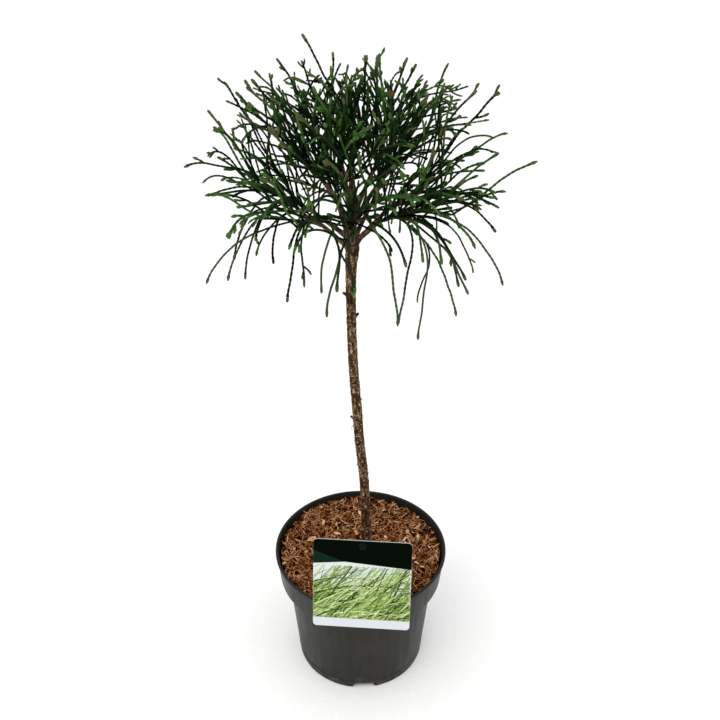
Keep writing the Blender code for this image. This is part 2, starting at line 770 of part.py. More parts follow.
def make_peg(card, material):
    """The black peg: a stake on the soil behind the card, and a headed pin through its hole."""
    bpy.context.view_layer.update()
    frame = card.matrix_world
    parts = make_collection("peg_parts")
    hole = CARD / 2 - HOLE_DROP
    front = CARD_THICKNESS / 2 + GAP
    stake = -CARD_THICKNESS / 2 - GAP - PEG_RADIUS
    joint = frame @ Vector((0.0, hole, stake))
    foot = Vector((*PEG_FOOT, MIX_HEIGHT + GAP))
    up = Vector(UP)
    points = [foot, foot + up * PEG_BEND, joint - up * PEG_BEND, joint + up * PEG_RADIUS]
    radii = [PEG_RADIUS * PEG_END, PEG_RADIUS, PEG_RADIUS, PEG_RADIUS]
    peg = make_tube("label_peg", points, radii, sections[PEG_SIDES], plant, material)
    length = front - stake + HEAD_THICKNESS / 2
    pin = make_cylinder("pin", PIN_RADIUS, PIN_RADIUS, length, PEG_SIDES, parts)
    pin.matrix_world = frame @ Matrix.Translation((0.0, hole, stake + length / 2))
    rim = HEAD_RADIUS * HEAD_END
    head = make_cylinder("head", HEAD_RADIUS, rim, HEAD_THICKNESS, HEAD_SIDES, parts)
    head.matrix_world = frame @ Matrix.Translation((0.0, hole, front + HEAD_THICKNESS / 2))
    join_all(peg, parts)
    shade_round(peg)


for leftover in list(bpy.data.objects):
    bpy.data.objects.remove(leftover)

plant = make_collection("potted_thuja")
cutters = make_collection("cutters")
guides = make_collection("guides")
sections = {
    sides: make_section(sides)
    for sides in (CORD_SIDES, STEM_SIDES, SNAG_SIDES, BOUGH_SIDES, PEG_SIDES, TRUNK_SIDES)
}

pot_plastic = make_material("moulded_black_plastic", "#3f403d", 0.45)
bark_fibre = make_material("bark_fibre", "#8a4f2b", 0.95)
trunk_bark = make_material("trunk_bark", "#6a4d36", 0.9)
bough_bark = make_material("bough_bark", "#6f4230", 0.85)
foliage = make_material("scale_foliage", "#2c5528", 0.6)
card_print = make_material("printed_card", "#8fb05a", 0.35)
peg_plastic = make_material("black_peg_plastic", "#151615", 0.4)

make_pot(pot_plastic)
make_mix(bark_fibre)
make_trunk(trunk_bark)
make_crown(bough_bark, foliage)
make_peg(make_card(card_print), peg_plastic)
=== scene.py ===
# %% [markdown]
# # A thuja with cord-like foliage, grafted on a bare stem
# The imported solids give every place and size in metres, so they are loaded first and every piece below is
# grown, turned or swept round them. A solid could be kept and only given a better finish, but these have few
# faces, so each is replaced by a finer mesh in the same place.

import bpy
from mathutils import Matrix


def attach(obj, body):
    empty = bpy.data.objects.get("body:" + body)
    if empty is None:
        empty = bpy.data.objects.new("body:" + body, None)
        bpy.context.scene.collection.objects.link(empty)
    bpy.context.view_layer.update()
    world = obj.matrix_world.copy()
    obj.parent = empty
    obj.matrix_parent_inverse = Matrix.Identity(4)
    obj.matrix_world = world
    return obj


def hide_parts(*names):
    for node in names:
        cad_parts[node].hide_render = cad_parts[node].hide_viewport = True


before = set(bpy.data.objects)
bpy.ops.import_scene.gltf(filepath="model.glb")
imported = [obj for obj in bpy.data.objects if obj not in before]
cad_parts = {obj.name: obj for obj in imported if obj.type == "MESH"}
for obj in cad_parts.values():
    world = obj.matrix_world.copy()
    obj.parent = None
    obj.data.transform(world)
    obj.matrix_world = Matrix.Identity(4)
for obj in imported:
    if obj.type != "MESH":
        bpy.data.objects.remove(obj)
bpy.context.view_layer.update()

import math
from collections import namedtuple
from functools import partial

import bmesh
import bpy
import numpy as np

# %% [markdown]
# ## Colours and materials
# Colours are written as the sRGB codes that a screen shows, and the shader wants linear light, so one
# function turns them. Pictures could colour the surfaces, but a pattern worked out from a place in metres has
# no seams and fits any mesh. One function adds a node and links it, which is all that such patterns need.

# %% Colours
def linear(code):
    """The sRGB hex colour as linear red, green, blue and alpha: ((s + 0.055) / 1.055)^2.4 of each share s, or
    s / 12.92 if it is dark."""
    shares = [int(code[start:start + 2], 16) / 255 for start in (1, 3, 5)]
    return [((s + 0.055) / 1.055) ** 2.4 if s > 0.04045 else s / 12.92 for s in shares] + [1.0]


def shaded(code, share):
    """The sRGB hex code with its three values multiplied by a share."""
    values = [min(255, round(int(code[start:start + 2], 16) * share)) for start in (1, 3, 5)]
    return "#" + "".join(f"{value:02x}" for value in values)


print("mid grey in linear light:", round(linear("#808080")[0], 3))


# %% Nodes and plain materials
def add_node(material, kind, inputs=None, stops=(), **settings):
    """Adds a node of the type ShaderNode and kind. Inputs are other nodes, whose first output is taken, outputs
    or plain values, by the input's name or number, and stops are a ramp's (place, colour) pairs."""
    tree = material.node_tree
    node = tree.nodes.new("ShaderNode" + kind)
    for name, value in settings.items():
        setattr(node, name, value)
    for key, value in (inputs or {}).items():
        value = value.outputs[0] if isinstance(value, bpy.types.Node) else value
        if isinstance(value, bpy.types.NodeSocket):
            tree.links.new(value, node.inputs[key])
        else:
            node.inputs[key].default_value = value
    if stops:
        ramp = node.color_ramp
        while len(ramp.elements) < len(stops):
            ramp.elements.new(1.0)
        for element, (place, code) in zip(ramp.elements, stops):
            element.position = place
            element.color = linear(code)
    return node


def new_material(name, code, roughness, specular, **sockets):
    """A Principled material: one colour, roughness and specular level, and any other socket by its name."""
    material = bpy.data.materials.new(name)
    material.use_nodes = True
    shader = material.node_tree.nodes["Principled BSDF"]
    values = {"Base Color": linear(code), "Roughness": roughness, "Specular IOR Level": specular}
    for socket, value in (values | sockets).items():
        shader.inputs[socket].default_value = value
    return material


def feed(material, socket, node, output=0):
    """Links a node's output to one of the Principled shader's sockets."""
    shader = material.node_tree.nodes["Principled BSDF"]
    material.node_tree.links.new(node.outputs[output], shader.inputs[socket])


print("types that begin with ShaderNode:", sum(name.startswith("ShaderNode") for name in dir(bpy.types)))

# %% Mottled materials
MOTTLE_ENDS = (0.32, 0.68)
MOTTLE_DETAIL = 3.0
MOTTLE_BUMP = 0.5


def mottled(name, code, roughness, specular, spread, grain, relief=0.0):
    """A material whose colour wanders about its code by a share, in patches of the grain's size in metres, and
    whose surface rises and falls with them by the relief."""
    material = new_material(name, code, roughness, specular)
    node = partial(add_node, material)
    place = node("TexCoord").outputs["Object"]
    noise = node("TexNoise", {"Vector": place, "Scale": 1 / grain, "Detail": MOTTLE_DETAIL})
    ends = zip(MOTTLE_ENDS, (shaded(code, 1 - spread), shaded(code, 1 + spread)))
    feed(material, "Base Color", node("ValToRGB", {"Fac": noise}, tuple(ends)))
    if relief:
        feed(material, "Normal", node("Bump", {"Height": noise, "Strength": MOTTLE_BUMP, "Distance": relief}))
    return material


print("a noise gives the darkest and the lightest tone at", *MOTTLE_ENDS)

# %% [markdown]
# ## Meshes from arrays
# Everything long and round here is a tube: rings of points carried along a line, with quads between
# neighbouring rings. A bevelled curve would be quicker to draw, but its radius can't follow every scale of a
# leaf or bark. A part is its points, its quads, its end caps and a material number for every face, and many
# parts joined make one piece.

# %% Rings and tubes
def unit(vector):
    """The vector divided by its length."""
    return vector / np.linalg.norm(vector, axis=-1, keepdims=True)


def circle(steps):
    """Even turns round a circle, in radians."""
    return 2 * math.pi * np.arange(steps) / steps


def ring_ways(turn, across, beside):
    """For each point of a line, the directions round it: cos(turn) across + sin(turn) beside."""
    return np.cos(turn)[None, :, None] * across[:, None] + np.sin(turn)[None, :, None] * beside[:, None]


def grid_quads(rows, columns, closed=True):
    """Quads from each row of points to the next. If it is closed, the last column meets the first."""
    row = np.arange(rows - 1)[:, None] * columns
    side = np.arange(columns if closed else columns - 1)[None]
    after = (side + 1) % columns
    quads = np.stack([row + side, row + after, row + columns + after, row + columns + side], axis=-1)
    return quads.reshape(-1, 4)


def tube_part(rings, kinds):
    """A closed tube from an array of rings (rings, sides, 3), with a flat cap at each end."""
    count, sides = rings.shape[:2]
    caps = np.stack([np.arange(sides)[::-1], np.arange(sides) + (count - 1) * sides])
    kinds = np.broadcast_to(np.asarray(kinds), (count - 1,))
    face_kinds = np.concatenate([np.repeat(kinds, sides), kinds[[0, -1]]])
    return rings.reshape(-1, 3), grid_quads(count, sides), caps, face_kinds


print("quads of a tube of 3 rings with 8 sides:", len(grid_quads(3, 8)))

# %% Objects and pieces
scene = bpy.context.scene


def new_object(name, data):
    """A new object of this data in the scene."""
    made = bpy.data.objects.new(name, data)
    scene.collection.objects.link(made)
    return made


def mesh_now(made):
    """The mesh that an object's modifiers, or its curve, make now."""
    bpy.context.view_layer.update()
    return bpy.data.meshes.new_from_object(made.evaluated_get(bpy.context.evaluated_depsgraph_get()))


def make_piece(name, parts, materials, smooth=True):
    """One object from many parts: their points are stacked and their faces renumbered."""
    points, corners, sizes, kinds = [], [], [], []
    start = 0
    for part_points, quads, caps, face_kinds in parts:
        points.append(part_points)
        for faces in (quads, caps):
            if len(faces):
                corners.append((faces + start).ravel())
                sizes.append(np.full(len(faces), faces.shape[1]))
        kinds.append(face_kinds)
        start += len(part_points)
    points, corners, sizes, kinds = (np.concatenate(lists) for lists in (points, corners, sizes, kinds))
    first_corners = np.concatenate([[0], np.cumsum(sizes)[:-1]])
    data = bpy.data.meshes.new(name)
    data.vertices.add(len(points))
    data.vertices.foreach_set("co", points.astype(np.float32).ravel())
    data.loops.add(len(corners))
    data.loops.foreach_set("vertex_index", corners.astype(np.int32))
    data.polygons.add(len(sizes))
    data.polygons.foreach_set("loop_start", first_corners.astype(np.int32))
    data.polygons.foreach_set("material_index", kinds.astype(np.int32))
    data.polygons.foreach_set("use_smooth", np.full(len(sizes), smooth))
    for material in materials:
        data.materials.append(material)
    data.update(calc_edges=True)
    piece = new_object(name, data)
    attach(piece, "root")
    print(name, "triangles:", int((sizes - 2).sum()))
    return piece


# %% [markdown]
# ## Camera, floor and light
# The plant was photographed from in front and well above its pot. A 45 mm lens 0.75 m in front and 0.85 m up,
# turned 31.5 degrees down, lays the pot's lip, collar and foot where the picture has them, and those three
# ellipses fix it better than an eye can. A small hard lamp would throw dark shadows that the picture hasn't,
# so a bright sky lights the pale sheet evenly, and a broad lamp on the left gives the pot its soft gloss.

# %% Camera
CAMERA_PLACE = (-0.0007, -0.752, 0.8538)
CAMERA_DOWN = 0.5494
camera_data = bpy.data.cameras.new("camera")
camera_data.lens = 45.0
camera_data.sensor_width = 36.0
camera_data.clip_start = 0.01
camera = new_object("camera", camera_data)
camera.location = CAMERA_PLACE
camera.rotation_euler = (math.pi / 2 - CAMERA_DOWN, 0.0, 0.0)
scene.camera = camera
print("camera at", CAMERA_PLACE, "degrees down:", round(math.degrees(CAMERA_DOWN), 1))

# %% Floor and light
FLOOR_REACH = 12.0
FLOOR_HEIGHT = -0.0002
SKY_STRENGTH = 1.02
LAMP_AIM = (0.0, 0.0, 0.35)
# Matt studio paper: an even white to the eye, with a faint tooth drawn coarser than real, at 4 mm.
floor_paper = mottled("white_paper_floor", "#fdfdfd", roughness=0.9, specular=0.1, spread=0.008, grain=0.004)
floor_data = bpy.data.meshes.new("floor")
corners = [(x * FLOOR_REACH, y * FLOOR_REACH, FLOOR_HEIGHT) for x, y in ((-1, -1), (1, -1), (1, 1), (-1, 1))]
floor_data.from_pydata(corners, [], [(0, 1, 2, 3)])
floor_data.materials.append(floor_paper)
floor = new_object("floor", floor_data)

world = bpy.data.worlds.new("studio")
scene.world = world
world.use_nodes = True
sky = world.node_tree.nodes["Background"]
sky.inputs["Color"].default_value = (1.0, 1.0, 1.0, 1.0)
sky.inputs["Strength"].default_value = SKY_STRENGTH
scene.view_settings.view_transform = "Standard"


def add_lamp(name, place, side, power, tint):
    """A square lamp that faces the middle of the plant."""
    data = bpy.data.lights.new(name, "AREA")
    data.size = side
    data.energy = power
    data.color = linear(tint)[:3]
    lamp = new_object(name, data)
    lamp.location = place
    towards = np.subtract(LAMP_AIM, place)
    tilt = math.acos(-towards[2] / np.linalg.norm(towards))
    lamp.rotation_euler = (tilt, 0.0, math.atan2(towards[1], towards[0]) - math.pi / 2)


add_lamp("key_lamp", (-1.1, -1.2, 1.9), side=2.0, power=18.0, tint="#fffdf7")
add_lamp("fill_lamp", (1.3, -0.9, 1.5), side=1.2, power=3.0, tint="#ffffff")
print("sky strength:", SKY_STRENGTH, "and two lamps")

# %% [markdown]
# ## How the plant grows
# A thuja of this kind bears long cords in place of flat sprays. Hair or scattered copies could fill a crown
# with them, but neither would join a limb. The crown is grown by the same rule, from the same seed, as the
# solids: each mass has a stem that carries its bough on, a few twigs that fan out from it, and cords that fork
# off the twigs towards goals near the crown's outline. Each line is a cubic curve. A cord that would leave its
# mass's wedge, touch a limb or cross an earlier cord is dropped, and another is tried.

# %% Trunk and boughs in numbers
UP = np.array([0.0, 0.0, 1.0])
GAP = 0.0003
MOUND_HEIGHT = 0.1400
TRUNK_BOW = 0.0030
# The trunk's rows: height, sideways place and radius
TRUNK_ROWS = (
    (MOUND_HEIGHT + GAP, 0.0068, 0.0086), (0.1435, 0.0068, 0.0072), (0.1520, 0.0065, 0.0060),
    (0.1870, 0.0059, 0.0053), (0.2430, 0.0036, 0.0050), (0.2960, -0.0014, 0.0049),
    (0.3300, -0.0034, 0.0048), (0.3700, -0.0064, 0.0047), (0.4160, -0.0084, 0.0046),
    (0.4600, -0.0092, 0.0047), (0.4920, -0.0090, 0.0053), (0.5090, -0.0084, 0.0062),
    (0.5230, -0.0080, 0.0059), (0.5340, -0.0080, 0.0043), (0.5580, -0.0079, 0.0032),
    (0.5830, -0.0080, 0.0022),
)
FORK = np.array([-0.008, 0.0, 0.521])
SEED = 23
LOWEST = -60.0
BOUGH_ROOT_RADIUS = 0.0024
BOUGH_TIP_RADIUS = 0.0018
# How a bough strays from its tier's values: a size, and the step and start of a sine
ROOT_SWAY = (0.006, 2.6, 0.0)
TURN_SWAY = (6.0, 5.1, 0.0)
RISE_SWAY = (5.0, 3.3, 1.0)
LENGTH_SWAY = (0.12, 1.7, 0.0)
print("fork at", FORK.tolist(), "rows of the trunk:", len(TRUNK_ROWS))

# %% Tiers and outline of the crown
# A tier of the crown: how many masses, the first one's azimuth, its lowest and highest angle, its boughs' root
# above the fork, rise and length, the solids' cords in a mass, its twigs as (side, height) shares, finer cords
Tier = namedtuple("Tier", "masses first low high root rise length cords twigs fine")
TIERS = {
    "skirt": Tier(7, 14.0, LOWEST, 48.0, -0.006, 40.0, 0.042, 20,
                  ((-0.68, 0.10), (0.66, 0.18), (-0.40, 0.72), (0.42, 0.66)), 10),
    "dome": Tier(5, 40.0, 51.0, 71.0, 0.020, 54.0, 0.040, 14,
                 ((-0.66, 0.15), (0.64, 0.25), (0.10, 0.75)), 25),
    "top": Tier(1, 0.0, 74.0, 90.0, 0.062, 90.0, 0.0, 11,
                ((-0.60, 0.35), (0.15, 0.40), (0.70, 0.35)), 36),
}
# The crown's outline: its reach from the fork at each angle
CROWN_ANGLES = (-45, -25, -10, 5, 24, 35, 50, 65, 80, 90)
CROWN_REACH = (0.095, 0.110, 0.128, 0.134, 0.146, 0.162, 0.170, 0.164, 0.154, 0.150)
UNDERSIDE = 12.0
FRONT_LIFT = 20.0
# Long outer cords of the solids: azimuth, reach and angle above the fork
WHIPS = (
    (156, 0.181, 76), (320, 0.166, 84), (19, 0.173, 60), (17, 0.182, 42), (353, 0.177, 27),
    (172, 0.163, 22), (190, 0.137, 22), (202, 0.137, -8), (191, 0.118, -15), (182, 0.106, -21),
    (228, 0.080, 12), (232, 0.070, -18), (250, 0.078, -13), (344, 0.142, -11), (3, 0.131, 2),
    (334, 0.117, -15), (327, 0.119, -23), (313, 0.110, -38), (306, 0.090, -38), (156, 0.178, 46),
    (146, 0.171, 53), (142, 0.170, 61), (162, 0.159, 35), (12, 0.166, 32), (341, 0.138, 24),
)
print("masses in each tier:", {label: tier.masses for label, tier in TIERS.items()})

# %% Directions and curves
LEAVING_SHARE = 0.38
ARRIVING_SHARE = 0.34


def ray(azimuth, angle):
    """The unit direction at this azimuth and this angle above the level, in degrees."""
    turn, rise = math.radians(azimuth), math.radians(angle)
    return np.array([math.cos(rise) * math.cos(turn), math.cos(rise) * math.sin(turn), math.sin(rise)])


def degrees_aside(turn, azimuth):
    """How far one azimuth is from another, the short way round."""
    return abs((turn - azimuth + 180) % 360 - 180)


def arc(start, end, leaving, arriving):
    """The four control points of a cubic curve with these directions at its ends."""
    span = np.linalg.norm(end - start)
    first = start + unit(leaving) * span * LEAVING_SHARE
    last = end - unit(arriving) * span * ARRIVING_SHARE
    return np.array([start, first, last, end])


def along(curve, count):
    """Points p0(1-t)^3 + 3 p1 t(1-t)^2 + 3 p2 t^2(1-t) + p3 t^3, for even steps of t."""
    t = np.linspace(0.0, 1.0, count)[:, None]
    return ((1 - t) ** 3 * curve[0] + 3 * t * (1 - t) ** 2 * curve[1]
            + 3 * t * t * (1 - t) * curve[2] + t ** 3 * curve[3])


print("the way at azimuth 270, level:", ray(270, 0).round(3).tolist())


# %% Masses and their boughs
def each_mass():
    """Every mass in its order: its name, its tier and its number in the tier."""
    for label, tier in TIERS.items():
        for index in range(tier.masses):
            yield f"{label}_{index + 1}" if tier.masses > 1 else label, tier, index


def azimuth_of(tier, index):
    """The middle of a mass: the tier's masses stand at even turns."""
    return tier.first + 360.0 * index / tier.masses


def half_width(tier):
    """Half of the turn that a mass takes up, in degrees."""
    return 180.0 / tier.masses if tier.masses > 1 else 180.0


def lowest_angle(tier, azimuth):
    """The crown's lower side, which lifts towards the front."""
    frontness = max(0.0, -math.sin(math.radians(azimuth)))
    return max(tier.low, UNDERSIDE + FRONT_LIFT * frontness ** 2)


def sway(index, size, step, start):
    """A sine of the bough's number, so that no two boughs are alike."""
    return size * math.sin(step * index + start)


def bough_line(tier, index):
    """A bough's root on the trunk's line, its tip and its direction."""
    if tier.length == 0:
        leader = FORK + UP * tier.root
        return leader, leader, UP
    root = FORK + UP * (tier.root + sway(index, *ROOT_SWAY))
    turn = azimuth_of(tier, index) + sway(index, *TURN_SWAY)
    out = ray(turn, tier.rise + sway(index, *RISE_SWAY))
    return root, root + out * tier.length * (1 + sway(index, *LENGTH_SWAY)), out


for name, tier, index in each_mass():
    print(name, "grows from", bough_line(tier, index)[1].round(3).tolist())

# %% Stems and twigs
STEM_AIM = 0.45
STEM_LEAN = 0.3
STEM_MARKS = 7
TWIG_REACH = 0.100
TWIG_SPREAD = (0.92, 1.12)
TWIG_PLACES = (0.5, 2.6)
TWIG_LEAN = 0.8
TWIG_ANGLE_STRAY = 1.5
TWIG_TURN_STRAY = 4.0


def grow_twigs(tier, azimuth, tip, out, rng):
    """The stem that carries the bough on, and the twigs that fan out from it."""
    bottom = lowest_angle(tier, azimuth)
    middle = bottom + STEM_AIM * (tier.high - bottom) if tier.masses > 1 else 90.0
    end = FORK + ray(azimuth, middle) * TWIG_REACH
    start = tip + out * GAP
    stem = arc(start, end, out, end - start + STEM_LEAN * np.linalg.norm(end - start) * out)
    marks = along(stem, STEM_MARKS)
    twigs = [stem]
    for side, height in tier.twigs:
        angle = bottom + height * (tier.high - bottom)
        angle += rng.uniform(-TWIG_ANGLE_STRAY, TWIG_ANGLE_STRAY)
        turn = azimuth + side * half_width(tier) + rng.uniform(-TWIG_TURN_STRAY, TWIG_TURN_STRAY)
        end = FORK + ray(turn, angle) * TWIG_REACH * rng.uniform(*TWIG_SPREAD)
        place = rng.uniform(*TWIG_PLACES)
        first = int(place)
        stride = marks[first + 1] - marks[first]
        start = marks[first] + stride * (place - first)
        twigs.append(arc(start, end, unit(stride) * TWIG_LEAN + unit(end - start), end - start))
    return twigs


print("a stem and twigs in each mass:", {label: 1 + len(tier.twigs) for label, tier in TIERS.items()})

# %% [markdown]
# ## Where a cord may grow
# A mass owns a wedge between two cones about the fork, every limb is a tapering rod, and two cords may not run
# through each other. A new cord of the solids is compared with the cords of its mass, point by point. The
# finer cords may cross from wedge to wedge, so they are compared with all. For that the crown's space is cut
# into cells of about a millimetre: looking up whether a cell is taken is quick, however many cords there are.

# %% The space of a mass
SPACE_CLEAR = 0.0026
NEARLY_SQUARE = 1.5


def in_space(points, tier, azimuth):
    """Whether the points keep to the mass's wedge between two cones about the fork."""
    offset = points - FORK
    level = np.hypot(offset[:, 0], offset[:, 1])
    far = np.hypot(level, offset[:, 2])
    angle = np.arctan2(offset[:, 2], level)
    kept = np.ones(len(points), bool)
    if tier.low > LOWEST:
        kept &= far * np.sin(angle - math.radians(tier.low)) > SPACE_CLEAR
    if tier.high < 90:
        kept &= far * np.sin(math.radians(tier.high) - angle) > SPACE_CLEAR
    if tier.masses > 1:
        turn = np.arctan2(offset[:, 1], offset[:, 0]) - math.radians(azimuth)
        aside = np.abs((turn + math.pi) % (2 * math.pi) - math.pi)
        inside = np.clip(math.pi / tier.masses - aside, -NEARLY_SQUARE, NEARLY_SQUARE)
        kept &= level * np.sin(inside) > SPACE_CLEAR
    return kept.all()


print("cords keep off the wedge's sides by", SPACE_CLEAR)

# %% Limbs and neighbours
TEST_POINTS = 9
CROSS_POINTS = 25
FORK_LENGTH = 0.012
CORD_SPACING = 0.0032


def trunk_line():
    """The trunk's centre line, upright at its foot and then bowed towards the back, and radii."""
    heights, sideways, radii = (np.array(column) for column in zip(*TRUNK_ROWS))
    share = (heights - heights[1]) / (FORK[2] - heights[1])
    bow = TRUNK_BOW * np.sin(math.pi * np.clip(share, 0, 1))
    return np.stack([sideways, bow, heights], axis=1), radii


def all_limbs():
    """Trunk and boughs as rods: starts, ends and the radii there."""
    points, radii = trunk_line()
    limbs = list(zip(points[:-1], points[1:], radii[:-1], radii[1:]))
    for name, tier, index in each_mass():
        if tier.length > 0:
            root, tip, out = bough_line(tier, index)
            limbs.append((root, tip, BOUGH_ROOT_RADIUS, BOUGH_TIP_RADIUS))
    return [np.array(column) for column in zip(*limbs)]


def clear_of_limbs(curve, clear):
    """Whether every point past the cord's root stays off every rod, whose surface is its radius at the nearest
    place."""
    starts, ends, root_radii, tip_radii = limbs
    rods = ends - starts
    offset = along(curve, TEST_POINTS)[1:, None] - starts[None]
    share = np.clip((offset * rods).sum(-1) / (rods * rods).sum(-1), 0, 1)
    gap = np.linalg.norm(offset - share[..., None] * rods, axis=-1)
    return (gap - root_radii - (tip_radii - root_radii) * share).min() > clear


def past_fork(curve, count):
    """The points of a cord that are farther from its root than the length of its fork."""
    points = along(curve, count)
    return points[np.linalg.norm(points - points[0], axis=1) > FORK_LENGTH]


def clear_of_cords(curve, samples):
    """Whether the cord reaches past its fork and crosses none of those grown before it."""
    free = past_fork(curve, CROSS_POINTS)
    if len(free) == 0:
        return False
    others = np.concatenate(samples)
    return np.linalg.norm(free[:, None] - others[None], axis=2).min() >= CORD_SPACING


limbs = all_limbs()
print("rods of the trunk and boughs:", len(limbs[0]))

# %% Cells that are taken
CELL = 0.0011
CELLS = 330
GRID_LOW = FORK - 0.5 * CELL * CELLS
DENSE_POINTS = 121
NEIGHBOURS = np.stack(np.meshgrid(*[[-1, 0, 1]] * 3), axis=-1).reshape(-1, 3)
occupied = np.zeros((CELLS,) * 3, bool)
print("cells:", occupied.size)


def cells_of(points):
    """The grid cell in which each point lies, kept inside the grid."""
    return np.clip(((points - GRID_LOW) / CELL).astype(int), 1, CELLS - 2)


def take_cells(curve):
    """Marks the cells of a line and those round them, so that a later line keeps its distance."""
    cells = (cells_of(along(curve, DENSE_POINTS))[:, None] + NEIGHBOURS).reshape(-1, 3)
    occupied[tuple(cells.T)] = True


def cells_free(curve):
    """Whether the line, past its fork, passes through no cell that is taken."""
    free = past_fork(curve, DENSE_POINTS)
    return len(free) > 0 and not occupied[tuple(cells_of(free).T)].any()


# %% [markdown]
# ## The cords of one mass
# A cord's root is the free place from which it forks off its twig at an acute angle. It leaves a little
# upwards and arches over, more so low in the crown, and some low ones fall. First come the cords that the
# solids have, drawn in the same order so that they come out the same. Then each mass's generator goes on with
# a few strong cords at the front and with finer ones, which may also fork off an earlier cord, as on the real
# plant, where some five hundred cords show.

# %% Grow one cord
ROOT_PLACES = 13
ROOT_SPACING = 0.0045
ROOT_ANGLE = 32.0
ROOT_LENGTH = 0.062
FALLING_LENGTH = 0.100
LENGTH_SCALE = 0.05
ROOT_CHANCE = 0.95
CROWDED_COST = 2.0
LIFT = ((0, 45, 90), (0.40, 0.12, 0.0))
DROOP = ((0, 25, 60, 90), (0.75, 0.42, 0.10, 0.0))
FALLING_LIFT = 0.85
FALLING_DROOP = 1.9
LIFT_STRAY = 0.10
DROOP_STRAY = 0.12
ARCH_LIFT = 0.5
TWIG_PULL = 0.45
LEAVING_STRAY = 0.15
ARRIVING_STRAY = 0.13


def choose_root(goal, carriers, taken, falling, widest, rng):
    """The free point of the carriers with the least cost of angle, length and chance, and whether there is one
    whose angle isn't over the widest."""
    points = np.stack([along(carrier, ROOT_PLACES) for carrier in carriers])
    heads = unit(np.gradient(points, axis=1))
    way = goal - points
    turn = np.arccos(np.clip((unit(way) * heads).sum(-1), -1, 1))
    length = np.linalg.norm(way, axis=-1)
    wanted = FALLING_LENGTH if falling else ROOT_LENGTH
    cost = np.abs(turn - math.radians(ROOT_ANGLE)) + np.abs(length - wanted) / LENGTH_SCALE
    cost += rng.uniform(0, ROOT_CHANCE, cost.shape)
    if taken:
        near = np.linalg.norm(points[:, :, None] - np.array(taken), axis=-1) < ROOT_SPACING
        cost += CROWDED_COST * near.sum(-1)
    cost[:, 0] = math.inf
    cost[turn > widest] = math.inf
    chosen = np.unravel_index(np.argmin(cost), cost.shape)
    return points[chosen], heads[chosen], np.isfinite(cost[chosen])


def grow_cord(goal, angle, falling, arch, widest, carriers, cords, rng):
    """One cord: it leaves its carrier upwards and arches over towards its tip. None if no root suits."""
    taken = [cord[0] for cord in cords]
    root, head, found = choose_root(goal, carriers, taken, falling, widest, rng)
    way = unit(goal - root)
    lift = FALLING_LIFT if falling else np.interp(angle, *LIFT)
    droop = FALLING_DROOP if falling else np.interp(angle, *DROOP)
    lift += ARCH_LIFT * arch + rng.normal(0, LIFT_STRAY)
    droop += arch + rng.normal(0, DROOP_STRAY)
    leaving = way + UP * lift + head * TWIG_PULL + rng.normal(0, LEAVING_STRAY, 3)
    arriving = way - UP * droop + rng.normal(0, ARRIVING_STRAY, 3)
    return arc(root, goal, leaving, arriving) if found else None


print("droop at 0, 45 and 90 degrees:", np.interp((0, 45, 90), *DROOP).round(2).tolist())

# %% Tips to grow towards
TRIES = 40
SIDE_SHARE = 0.97
WIDER_OVER = 30
TOP_ANGLE = 89.0
FALLING_ANGLES = (-24.0, -4.0)
FALLING_CHANCE = (0.06, 0.22)
OUTER_CHANCE = 0.55
OUTER_SHARE = (0.86, 1.03)
INNER_SHARE = (0.55, 0.88)


def draw_goal(tier, azimuth, over, calm, reach, rng):
    """A tip's place near the crown's outline, in the mass's wedge or over its edge, and seldom low if calm."""
    turn = azimuth + half_width(tier) * rng.uniform(-SIDE_SHARE, SIDE_SHARE) * (1 + over / WIDER_OVER)
    sideways = math.cos(math.radians(turn)) ** 2
    chance = FALLING_CHANCE[0] + FALLING_CHANCE[1] * sideways
    falling = tier.low < 0 and rng.random() < chance * calm
    if falling:
        angle = rng.uniform(*FALLING_ANGLES)
    else:
        low = lowest_angle(tier, turn)
        angle = rng.uniform(low - over * (tier.low > LOWEST), min(tier.high + over, TOP_ANGLE))
    outer = rng.random() < OUTER_CHANCE
    share = rng.uniform(*OUTER_SHARE) if outer else rng.uniform(*INNER_SHARE)
    far = np.interp(angle, CROWN_ANGLES, CROWN_REACH) * share * reach
    return FORK + ray(turn, angle) * far, angle, falling


def grow_to_listed(listed, tier, azimuth, falls, keep):
    """Grows a cord to each listed tip (azimuth, reach, angle) of this mass's wedge, in as many tries as it may
    take, and falling where the tip's number and angle say so."""
    for number, (turn, reach, angle) in enumerate(listed):
        if degrees_aside(turn, azimuth) < half_width(tier) and tier.low < angle <= tier.high:
            goal = FORK + ray(turn, angle) * reach
            for attempt in range(TRIES):
                if keep(goal, angle, falls(number, angle)):
                    break


print("the outline's reach at 0, 45 and 90 degrees:",
      np.interp((0, 45, 90), CROWN_ANGLES, CROWN_REACH).round(3).tolist())

# %% Cords of the solids
FALLING_BELOW = 14.0


def grow_mass(tier, index, number):
    """The twigs and cords of one mass that the solids have, and the mass's random generator."""
    rng = np.random.default_rng([SEED, number])
    azimuth = azimuth_of(tier, index)
    root, tip, out = bough_line(tier, index)
    twigs = grow_twigs(tier, azimuth, tip, out, rng)
    samples = [along(twig, CROSS_POINTS) for twig in twigs]
    cords = []

    def keep(goal, angle, falling):
        curve = grow_cord(goal, angle, falling, 0.0, math.pi, twigs, cords, rng)
        points = along(curve, TEST_POINTS)[1:]
        if not (in_space(points, tier, azimuth) and clear_of_limbs(curve, SPACE_CLEAR)
                and clear_of_cords(curve, samples)):
            return False
        cords.append(curve)
        samples.append(along(curve, CROSS_POINTS))
        return True

    grow_to_listed(WHIPS, tier, azimuth, lambda number, angle: angle < FALLING_BELOW, keep)
    for attempt in range(tier.cords * TRIES):
        if len(cords) < tier.cords:
            keep(*draw_goal(tier, azimuth, 0.0, 1.0, 1.0, rng))
    return twigs, cords, rng


